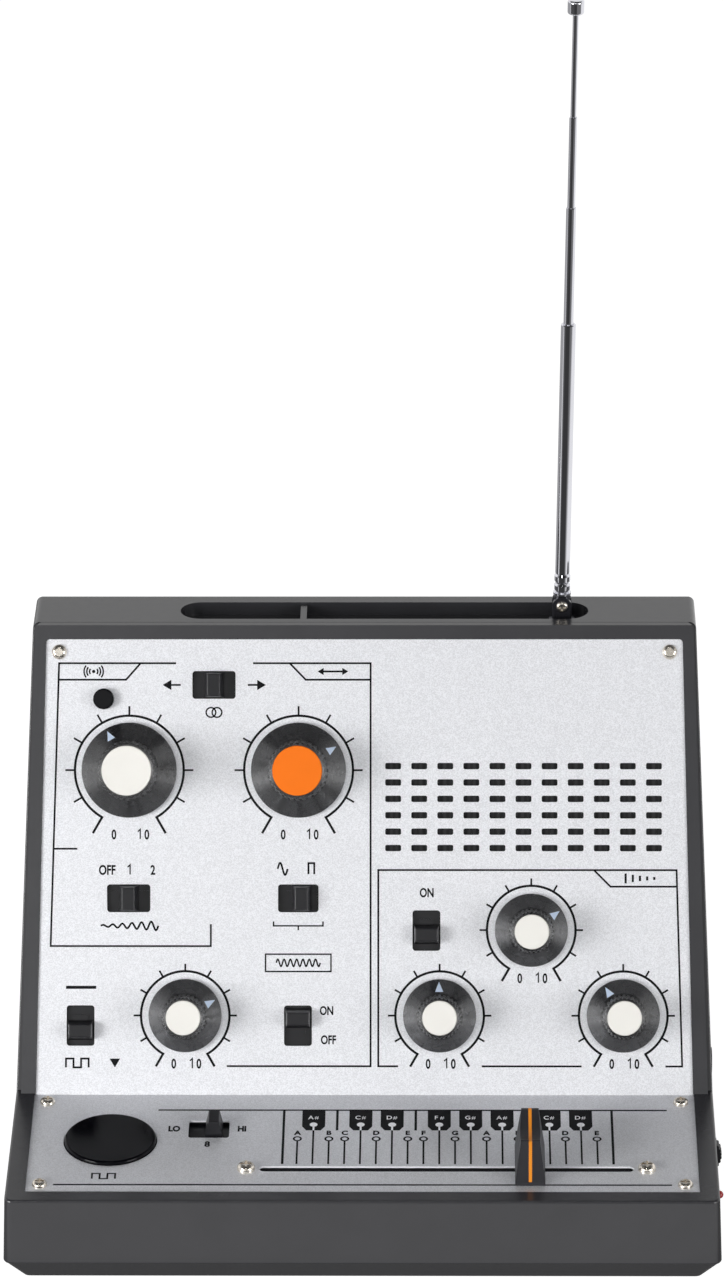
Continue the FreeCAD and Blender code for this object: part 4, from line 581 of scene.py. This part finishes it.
def square_points(x, y, width, height, pulses):
    """Square pulses, each followed by a gap of its own width."""
    step = width / (2 * pulses)
    low, high = y - height / 2, y + height / 2
    points = []
    for index in range(pulses):
        start = x - width / 2 + 2 * index * step
        points += [(start, low), (start, high), (start + step, high), (start + step, low)]
    return points


def print_arrow(ink, tip, tail, y, size):
    """Arrow along x with a filled head; size is half the head's width."""
    way = 1 if tip > tail else -1
    neck = tip - way * size * ARROW_HEAD
    ink.shape([(tip, y), (neck, y + size), (neck, y - size)][::way])
    ink.line([(neck, y), (tail, y)])


# ---------------------------------------------------------------- the steep panel's printing

# Knob dials, in millimetres from the knob's axis: the ring, the outer ends of its ticks and
# of its two end strokes, and the row of its numbers
BIG_DIAL = {"radius": 19.8, "tick": 23.3, "end": 26.5, "label": 23.3}
SMALL_DIAL = {"radius": 16.1, "tick": 18.8, "end": 21.4, "label": 17.4}
DIAL_TICKS = range(-120, 121, 30)
DIAL_END = math.radians(150)
LABEL_SPREAD = 0.24
TEN_ONE = -1.6
TEN_ZERO = 0.8


def knob_place(name):
    return Vector(slope.flat(joints[name + "_turn"]["pos_m"]))


def print_dial(ink, name, size):
    """Open ring with ticks, its two ends and the numbers of its range."""
    centre = knob_place(name)
    arc = turn_points(centre, size["radius"], -DIAL_END, DIAL_END)
    ends = [centre + way_at(angle) * size["end"] for angle in (-DIAL_END, DIAL_END)]
    ink.line([ends[0], *arc, ends[1]], RING_LINE)
    for degrees in DIAL_TICKS:
        way = way_at(math.radians(degrees))
        ink.line([centre + way * size["radius"], centre + way * size["tick"]])
    row = centre.y - size["label"]
    gap = size["label"] * LABEL_SPREAD
    ink.text("0", centre.x - gap, row)
    print_one(ink, centre.x + gap + TEN_ONE, row)
    ink.text("0", centre.x + gap + TEN_ZERO, row)


# Boxes, in millimetres: x from the case's middle, y from the crease
BOX_FOOT = 10.5
TAB_DEPTH = 6.0
LEFT_TOP = 157.0
LEFT_TAB = LEFT_TOP - TAB_DEPTH
LEFT_BOX_LINES = (
    ((-68.5, LEFT_TOP), (-111.1, LEFT_TOP), (-114.1, 54.1), (-55.8, 54.1), (-55.8, 62.1)),
    ((-40.5, LEFT_TOP), (2.3, LEFT_TOP), (2.3, BOX_FOOT), (-50.0, BOX_FOOT)),
    ((-111.2, LEFT_TAB), (-86.7, LEFT_TAB), (-81.4, LEFT_TOP)),
    ((2.3, LEFT_TAB), (-21.3, LEFT_TAB), (-27.1, LEFT_TOP)),
    ((-112.9, 89.5), (-104.4, 89.5)),
)
DELAY_TOP = 81.8
DELAY_TAB = DELAY_TOP - TAB_DEPTH
DELAY_BOX_LINES = (
    ((12.3, BOX_FOOT), (5.1, BOX_FOOT), (5.1, DELAY_TOP),
     (113.5, DELAY_TOP), (115.5, BOX_FOOT), (109.4, BOX_FOOT)),
    ((42.7, BOX_FOOT), (79.0, BOX_FOOT)),
    ((113.6, DELAY_TAB), (89.5, DELAY_TAB), (83.5, DELAY_TOP)),
)


def print_boxes(ink):
    for points in LEFT_BOX_LINES + DELAY_BOX_LINES:
        ink.line(points)


# Marks in the boxes' tabs: a dot with arcs, a double arrow and fading bars
TAB_DOT_X = -98.5
TAB_DOT_RADIUS = 0.6
TAB_ARC_RADII = (1.5, 2.5, 3.5)
TAB_ARC_SPREAD = math.radians(38)
TAB_ARC_STEP = math.radians(9)
TAB_ARROW_TIPS = (-17.0, -5.8)
TAB_ARROW_TAIL = -11.4
TAB_ARROW_SIZE = 1.3
BAR_COUNT = 5
BAR_X = 95.0
BAR_PITCH = 2.6
BAR_HALF = 1.8
BAR_FADE = 0.74


def print_tab_marks(ink):
    row = LEFT_TOP - TAB_DEPTH / 2
    ink.disc((TAB_DOT_X, row), TAB_DOT_RADIUS)
    for radius in TAB_ARC_RADII:
        for middle in (-math.pi / 2, math.pi / 2):
            start, end = middle - TAB_ARC_SPREAD, middle + TAB_ARC_SPREAD
            ink.line(turn_points((TAB_DOT_X, row), radius, start, end, TAB_ARC_STEP), THIN_LINE)
    for tip in TAB_ARROW_TIPS:
        print_arrow(ink, tip, TAB_ARROW_TAIL, row, TAB_ARROW_SIZE)
    row = DELAY_TOP - TAB_DEPTH / 2
    for index in range(BAR_COUNT):
        x = BAR_X + index * BAR_PITCH
        half = BAR_HALF * BAR_FADE ** index
        ink.line([(x, row - half), (x, row + half)], BAR_LINE)


# Marks of the mix switch: an arrow to either side, as tip and tail, and two linked rings
MIX_ARROWS = ((-73.4, -66.8), (-35.8, -42.4))
MIX_ARROW_Y = 149.1
MIX_ARROW_SIZE = 1.87
MIX_RINGS = ((-55.8, 139.1), (-53.6, 139.1))
MIX_RING_RADIUS = 1.75


def print_mix_marks(ink):
    for tip, tail in MIX_ARROWS:
        print_arrow(ink, tip, tail, MIX_ARROW_Y, MIX_ARROW_SIZE)
    for centre in MIX_RINGS:
        ink.ring(centre, MIX_RING_RADIUS, THIN_LINE)


# Marks of the slide switches; words have x, y and height, waves x, y, width, height and turns
SWITCH_WORDS = (
    ("OFF", -93.5, 81.9, LABEL_HEIGHT),
    ("2", -76.9, 81.9, LABEL_HEIGHT),
    ("ON", -13.7, 30.8, 3.2),
    ("OFF", -13.0, 20.2, 3.2),
    ("ON", 22.7, 73.7, 3.3),
)
SWITCH_ONE = (-85.2, 81.9)
GROWING_WAVE = (-85.4, 61.5, 21.0, 3.4, 6)
WAVE_GROWTH = 0.85
SINE_MARK = (-29.7, 82.2, 3.6, 4.4, 1)
SQUARE_MARK = (-18.2, 82.3, 4.2, 4.0, 1)
BRACKET = ((-33.0, 63.1), (-33.0, 61.5), (-15.0, 61.5), (-15.0, 63.1))
BRACKET_STEM = ((-24.0, 61.5), (-24.0, 59.9))
WAVE_BOX = ((-35.9, 44.9), (-12.1, 44.9), (-12.1, 51.2), (-35.9, 51.2))
BOXED_WAVE = (-24.0, 48.05, 16.0, 2.6, 7)


def print_switch_marks(ink):
    for words in SWITCH_WORDS:
        ink.text(*words)
    print_one(ink, *SWITCH_ONE)
    ink.line(sine_points(*GROWING_WAVE, growth=WAVE_GROWTH))
    ink.line(sine_points(*SINE_MARK))
    ink.line(square_points(*SQUARE_MARK))
    ink.line(BRACKET, THIN_LINE)
    ink.line(BRACKET_STEM, THIN_LINE)
    ink.line(WAVE_BOX, THIN_LINE, closed=True)
    ink.line(sine_points(*BOXED_WAVE), THIN_LINE)


# Marks of the drone switch: held tone above it, pulses and an arrowhead below it
DRONE_BAR = ((-108.5, 39.1), (-97.5, 39.1))
DRONE_PULSES = (-103.0, 11.6, 11.0, 3.2, 2)
DRONE_HEAD = ((-92.6, 13.2), (-88.8, 13.2), (-90.7, 10.0))


def print_drone_marks(ink):
    ink.line(DRONE_BAR, BOLD_LINE)
    ink.line(square_points(*DRONE_PULSES))
    ink.shape(DRONE_HEAD)


def print_upper_panel():
    ink = Ink(slope)
    for name in BIG_KNOBS:
        print_dial(ink, name, BIG_DIAL)
    for name in SMALL_KNOBS:
        print_dial(ink, name, SMALL_DIAL)
    print_boxes(ink)
    print_tab_marks(ink)
    print_mix_marks(ink)
    print_switch_marks(ink)
    print_drone_marks(ink)
    ink.finish("upper_panel_printing", "case", INK)


# ---------------------------------------------------------------- the deck's printing

# Scale beside the slider, in millimetres; y is below the crease
NOTES = ("A", "A#", "B", "C", "C#", "D", "D#", "E", "F", "F#", "G", "G#")
NOTES_BEFORE_A_SPLIT = ("B", "E")
FIRST_NOTE_X = -23.7
NOTE_PITCH = 5.668
NOTE_COUNT = 20
SCALE_TOP = -10.3
SCALE_FOOT = -46.4
SCALE_ENDS = (-28.8, 89.6)
BADGE_HALF = 4.15
BADGE_FOOT = -23.9
BADGE_CHAMFER = (1.5, 2.6)
BADGE_LETTER_Y = -15.2
BADGE_LETTER_GAP = 1.05
BADGE_DOT_Y = -20.1
BADGE_DOT_RADIUS = 1.4
NATURAL_LETTER_Y = -25.5
NATURAL_DOT_Y = -29.6
NATURAL_DOT_RADIUS = 1.3

# Height, narrowing and thickening of the scale's letters
BADGE_LETTER = (2.5, 0.84, 0.01)
BADGE_SHARP = (2.3, 0.84, -0.005)
NATURAL_LETTER = (2.7, 0.86, 0.05)


def print_sharp(ink, light, x, note):
    """Dark badge that hangs from the scale's top, with light letters, dot and stem."""
    side_x, side_y = BADGE_HALF, BADGE_FOOT + BADGE_CHAMFER[1]
    foot_x = BADGE_HALF - BADGE_CHAMFER[0]
    ink.shape([(x - side_x, SCALE_TOP), (x - side_x, side_y), (x - foot_x, BADGE_FOOT),
               (x + foot_x, BADGE_FOOT), (x + side_x, side_y), (x + side_x, SCALE_TOP)])
    light.text(note[0], x - BADGE_LETTER_GAP, BADGE_LETTER_Y, *BADGE_LETTER)
    light.text(note[1], x + BADGE_LETTER_GAP, BADGE_LETTER_Y, *BADGE_SHARP)
    light.disc((x, BADGE_DOT_Y), BADGE_DOT_RADIUS)
    light.line([(x, BADGE_DOT_Y), (x, BADGE_FOOT)])
    ink.line([(x, BADGE_FOOT), (x, SCALE_FOOT)])


def print_natural(ink, x, note):
    """Letter, ring and stem."""
    ink.text(note, x, NATURAL_LETTER_Y, *NATURAL_LETTER)
    ink.ring((x, NATURAL_DOT_Y), NATURAL_DOT_RADIUS)
    ink.line([(x, NATURAL_DOT_Y - NATURAL_DOT_RADIUS), (x, SCALE_FOOT)])


def print_scale(ink, light):
    for x in SCALE_ENDS:
        ink.line([(x, SCALE_TOP), (x, SCALE_FOOT)], SCALE_LINE)
    for index in range(NOTE_COUNT):
        note = NOTES[index % len(NOTES)]
        x = FIRST_NOTE_X + index * NOTE_PITCH
        if "#" in note:
            print_sharp(ink, light, x, note)
        else:
            print_natural(ink, x, note)
        if note in NOTES_BEFORE_A_SPLIT and index < NOTE_COUNT - 1:
            split = x + NOTE_PITCH / 2
            ink.line([(split, SCALE_TOP), (split, BADGE_FOOT)], SCALE_LINE)


# The deck's long lines, the octave switch's words as for text(), and the trigger's pulses
DECK_LINES = (
    ((-74.4, SCALE_TOP), (109.6, SCALE_TOP)),
    ((-110.0, -60.1), (110.0, -60.1)),
)
OCTAVE_WORDS = (
    ("LO", -68.2, -22.8, LABEL_HEIGHT, 0.68, 0.05),
    ("HI", -43.8, -22.8, LABEL_HEIGHT, 0.68, 0.05),
    ("8", -56.0, -33.1, LABEL_HEIGHT, 0.8, 0.035),
)
TRIGGER_PULSES = (-90.9, -54.5, 11.0, 3.4, 2)


def print_lower_panel():
    ink = Ink(deck)
    light = Ink(deck, 0.0, LIGHT_INK_HEIGHT)
    for points in DECK_LINES:
        ink.line(points, DECK_LINE)
    print_scale(ink, light)
    for words in OCTAVE_WORDS:
        ink.text(*words)
    ink.line(square_points(*TRIGGER_PULSES))
    ink.finish("lower_panel_printing", "case", INK)
    light.finish("lower_panel_light_printing", "case", FINISHES["panel_silver"], "panel_silver")


# ---------------------------------------------------------------- knob pointers

# Millimetres, apart from the tip's share of the knob's radius and the weld distances in metres
POINTER_LENGTH = 3.5
POINTER_WIDTH = 3.0
POINTER_TIP = 0.94
POINTER_HEIGHT = 0.06
POINTER_ROWS = 6
POINTER_COLUMNS = (-1, -0.5, 0, 0.5, 1)
ABOVE_KNOBS = 40
WELD = 1e-7
SLIVER = 1e-8

# Degrees clockwise from the top
REST_TURNS = {
    "pitch_antenna_knob": -29, "pitch_slide_knob": 58, "time_knob": 55.5,
    "level_knob": -1, "feedback_knob": -32, "decay_knob": 62,
}


def surface_of(name):
    mesh = nodes[name].data
    corners = [v.co for v in mesh.vertices]
    return BVHTree.FromPolygons(corners, [p.vertices[:] for p in mesh.polygons])


def knob_radius(name):
    low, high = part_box(name)
    return (high.x - low.x) / 2 / MM


def pointer_rows(name):
    """Rows of points on the knob's cone, from the pointer's tip to its wide end."""
    skin = surface_of(name)
    centre = knob_place(name)
    out = way_at(math.radians(REST_TURNS[name]))
    side = Vector((out.y, -out.x))
    tip = knob_radius(name) * POINTER_TIP
    rows = []
    for index in range(POINTER_ROWS + 1):
        share = index / POINTER_ROWS
        half = POINTER_WIDTH / 2 * share
        row = []
        for across in POINTER_COLUMNS:
            spot = centre + out * (tip - POINTER_LENGTH * share) + side * half * across
            start = slope.at(spot.x, spot.y, ABOVE_KNOBS)
            row.append(skin.ray_cast(start, -slope.normal)[0])
        rows.append(row)
    return rows


def add_pointer(name):
    """Printed triangle that lies on the knob's cone and points outwards."""
    rows = pointer_rows(name)
    made = bmesh.new()
    lift = slope.normal * POINTER_HEIGHT * MM
    over = [[made.verts.new(p + lift) for p in row] for row in rows]
    under = [[made.verts.new(p - lift) for p in row] for row in rows]
    last = len(POINTER_COLUMNS) - 1
    end = POINTER_ROWS
    for i in range(POINTER_ROWS):
        for j in range(last):
            made.faces.new((over[i][j], over[i + 1][j], over[i + 1][j + 1], over[i][j + 1]))
            made.faces.new((under[i][j], under[i][j + 1], under[i + 1][j + 1], under[i + 1][j]))
        made.faces.new((over[i][0], under[i][0], under[i + 1][0], over[i + 1][0]))
        made.faces.new((over[i][last], over[i + 1][last], under[i + 1][last], under[i][last]))
    for j in range(last):
        made.faces.new((over[end][j], under[end][j], under[end][j + 1], over[end][j + 1]))
    bmesh.ops.remove_doubles(made, verts=made.verts, dist=WELD)
    bmesh.ops.dissolve_degenerate(made, dist=SLIVER, edges=made.edges)
    bmesh.ops.recalc_face_normals(made, faces=made.faces)
    data = bpy.data.meshes.new(name + "_pointer")
    made.to_mesh(data)
    made.free()
    add_piece(name + "_pointer", data, name, POINTER_PAINT)


# ---------------------------------------------------------------- studio

# Camera: millimetres on and out from the steep panel, lens and sensor in millimetres,
# and how far it sees in metres
CAMERA_X = 31.1
CAMERA_UP_PANEL = 138.18
CAMERA_DISTANCE = 2364.0
CAMERA_TILT = math.radians(0.661)
CAMERA_PAN = math.radians(0.774)
CAMERA_LENS = 182.8
SENSOR = 36.0
CAMERA_FAR = 20

# Lamps: place, width and height in metres, and power in watts
LAMPS = {
    "left_front_softbox": ((-0.55, -2.3, 1.0), (1.0, 0.9), 3.6),
    "right_front_softbox": ((0.7, -2.3, 1.0), (0.9, 0.9), 2.4),
    "left_softbox": ((-1.25, -1.15, 0.5), (0.75, 0.7), 21),
    "right_softbox": ((1.3, -1.1, 0.5), (0.75, 0.7), 11.5),
    "top_strip": ((-0.1, -1.0, 1.6), (0.4, 0.06), 0.9),
}
LAMP_AIM_HEIGHT = 0.12

WORLD_LEVEL = 0.2
FLOOR_COLOUR = 0.5
FLOOR_GLOW = 0.9
FLOOR_SIZE = 6.0

# Soft steps of the reflected room by direction and of the reflected floor by metres:
# where each starts and ends, and the strengths it goes from and to
ROOM_FROM_FRONT = (-0.5, 0.2, 0.15, 1)
ROOM_TO_CEILING = (0.5, 0.8, 1, 0.12)
FLOOR_FROM_LEFT = (-0.35, 0.45, 0.42, 1.0)
FLOOR_FROM_FRONT = (-0.25, -0.18, 0.05, 0.95)
# Next to the case the reflected floor darkens: a painted contact shadow
FLOOR_SHADOW_AT_CASE = (-0.105, -0.088, 1, 0.25)
FLOOR_TO_SIDES = (0.2, 0.5, 0, 1)
SIDES_FROM_FRONT = (-0.45, -0.1, 0.2, 1)
FLOOR_TO_BACK = (-0.1, 0.1, 0, 1)


def add_camera():
    """Camera square to the steep panel, turned a little up and to the left."""
    data = bpy.data.cameras.new("camera")
    data.lens = CAMERA_LENS
    data.sensor_width = SENSOR
    data.clip_end = CAMERA_FAR
    camera = bpy.data.objects.new("camera", data)
    bpy.context.scene.collection.objects.link(camera)
    ahead = -slope.normal + slope.up * math.tan(CAMERA_TILT) - slope.right * math.tan(CAMERA_PAN)
    ahead.normalize()
    right = (slope.right - ahead * slope.right.dot(ahead)).normalized()
    up = right.cross(ahead)
    turn = Matrix((right, up, -ahead)).transposed().to_4x4()
    place = slope.at(CAMERA_X, CAMERA_UP_PANEL, CAMERA_DISTANCE)
    camera.matrix_world = Matrix.Translation(place) @ turn
    bpy.context.scene.camera = camera


def add_lamp(name, place, size, power, aim):
    data = bpy.data.lights.new(name, "AREA")
    data.shape = "RECTANGLE"
    data.size, data.size_y = size
    data.energy = power
    lamp = bpy.data.objects.new(name, data)
    bpy.context.scene.collection.objects.link(lamp)
    lamp.location = place
    lamp.rotation_mode = "QUATERNION"
    lamp.rotation_quaternion = (aim - Vector(place)).to_track_quat("-Z", "Y")


class Sight:
    """Strength of a glow by the kind of ray that meets it."""

    def __init__(self, tree):
        self.tree = tree
        self.path = tree.nodes.new("ShaderNodeLightPath")

    def worked(self, kind, first, second):
        """A math node on two outputs or numbers."""
        made = self.tree.nodes.new("ShaderNodeMath")
        made.operation = kind
        for socket, value in zip(made.inputs, (first, second)):
            if isinstance(value, (int, float)):
                socket.default_value = value
            else:
                self.tree.links.new(value, socket)
        return made.outputs[0]

    def times(self, first, second):
        return self.worked("MULTIPLY", first, second)

    def larger(self, first, second):
        return self.worked("MAXIMUM", first, second)

    def direct(self):
        """1 for rays of the camera and rays sent on by glass."""
        return self.larger(self.path.outputs["Is Camera Ray"], self.path.outputs["Is Transmission Ray"])

    def mirrored(self):
        """1 for rays sent on by a glossy surface."""
        return self.path.outputs["Is Glossy Ray"]

    def smooth(self, value, start, end, low, high):
        """Soft step of a value, from low at start to high at end."""
        made = self.tree.nodes.new("ShaderNodeMapRange")
        made.interpolation_type = "SMOOTHSTEP"
        made.inputs["From Min"].default_value = start
        made.inputs["From Max"].default_value = end
        made.inputs["To Min"].default_value = low
        made.inputs["To Max"].default_value = high
        self.tree.links.new(value, made.inputs["Value"])
        return made.outputs["Result"]

    def axes(self, coordinate):
        """X, Y and Z of a coordinate."""
        place = self.tree.nodes.new("ShaderNodeTexCoord")
        split = self.tree.nodes.new("ShaderNodeSeparateXYZ")
        self.tree.links.new(place.outputs[coordinate], split.inputs["Vector"])
        return split.outputs


def add_world():
    """White where it is seen, darker in reflections of the room in front, soft grey as a light."""
    world = bpy.data.worlds.new("studio")
    bpy.context.scene.world = world
    world.use_nodes = True
    tree = world.node_tree
    sight = Sight(tree)
    ways = sight.axes("Generated")
    front = sight.smooth(ways["Y"], *ROOM_FROM_FRONT)
    above = sight.smooth(ways["Z"], *ROOM_TO_CEILING)
    room = sight.worked("SUBTRACT", sight.times(front, above), WORLD_LEVEL)
    reflected = sight.times(sight.mirrored(), room)
    seen = sight.times(sight.direct(), 1 - WORLD_LEVEL)
    level = sight.worked("ADD", sight.worked("ADD", reflected, seen), WORLD_LEVEL)
    background = tree.nodes["Background"]
    background.inputs["Color"].default_value = (1, 1, 1, 1)
    tree.links.new(level, background.inputs["Strength"])


def floor_reflection(sight):
    """How light the floor is in a reflection.

    A strip close in front of the case is light, with a painted contact shadow right at the case, and the
    floor before it dark. To the sides and behind it is light again, greyer towards the left.
    """
    axes = sight.axes("Object")
    # The strip's step at the case is a painted contact shadow
    strip = sight.times(sight.smooth(axes["Y"], *FLOOR_FROM_FRONT),
                        sight.smooth(axes["Y"], *FLOOR_SHADOW_AT_CASE))
    out = sight.smooth(sight.worked("ABSOLUTE", axes["X"], 0), *FLOOR_TO_SIDES)
    aside = sight.times(out, sight.smooth(axes["Y"], *SIDES_FROM_FRONT))
    around = sight.larger(aside, sight.smooth(axes["Y"], *FLOOR_TO_BACK))
    return sight.larger(strip, sight.times(around, sight.smooth(axes["X"], *FLOOR_FROM_LEFT)))


def floor_material():
    """White to the camera, a matt grey that keeps a soft shadow, and its own look in reflections."""
    material = bpy.data.materials.new("white_floor")
    material.use_nodes = True
    tree = material.node_tree
    tree.nodes.clear()
    sight = Sight(tree)
    output = tree.nodes.new("ShaderNodeOutputMaterial")
    matt = tree.nodes.new("ShaderNodeBsdfDiffuse")
    matt.inputs["Color"].default_value = (FLOOR_COLOUR, FLOOR_COLOUR, FLOOR_COLOUR, 1)
    glow = tree.nodes.new("ShaderNodeEmission")
    tree.links.new(sight.times(sight.direct(), FLOOR_GLOW), glow.inputs["Strength"])
    seen = tree.nodes.new("ShaderNodeAddShader")
    tree.links.new(matt.outputs["BSDF"], seen.inputs[0])
    tree.links.new(glow.outputs["Emission"], seen.inputs[1])
    mirror = tree.nodes.new("ShaderNodeEmission")
    tree.links.new(floor_reflection(sight), mirror.inputs["Strength"])
    mix = tree.nodes.new("ShaderNodeMixShader")
    tree.links.new(sight.mirrored(), mix.inputs["Fac"])
    tree.links.new(seen.outputs["Shader"], mix.inputs[1])
    tree.links.new(mirror.outputs["Emission"], mix.inputs[2])
    tree.links.new(mix.outputs["Shader"], output.inputs["Surface"])
    return material


def add_floor():
    data = bpy.data.meshes.new("floor")
    half = FLOOR_SIZE / 2
    corners = [(-half, -half, 0), (half, -half, 0), (half, half, 0), (-half, half, 0)]
    data.from_pydata(corners, [], [(0, 1, 2, 3)])
    floor = bpy.data.objects.new("floor", data)
    bpy.context.scene.collection.objects.link(floor)
    data.materials.append(floor_material())


def add_studio():
    centre = (cad_box[0] + cad_box[1]) / 2
    centre.z = LAMP_AIM_HEIGHT
    for name, (place, size, power) in LAMPS.items():
        add_lamp(name, place, size, power, centre)
    add_world()
    add_floor()


# ---------------------------------------------------------------- the whole

dress_cad_nodes()
print_upper_panel()
print_lower_panel()
for knob in BIG_KNOBS + SMALL_KNOBS:
    add_pointer(knob)
add_camera()
add_studio()

bpy.context.scene.view_settings.view_transform = "Standard"
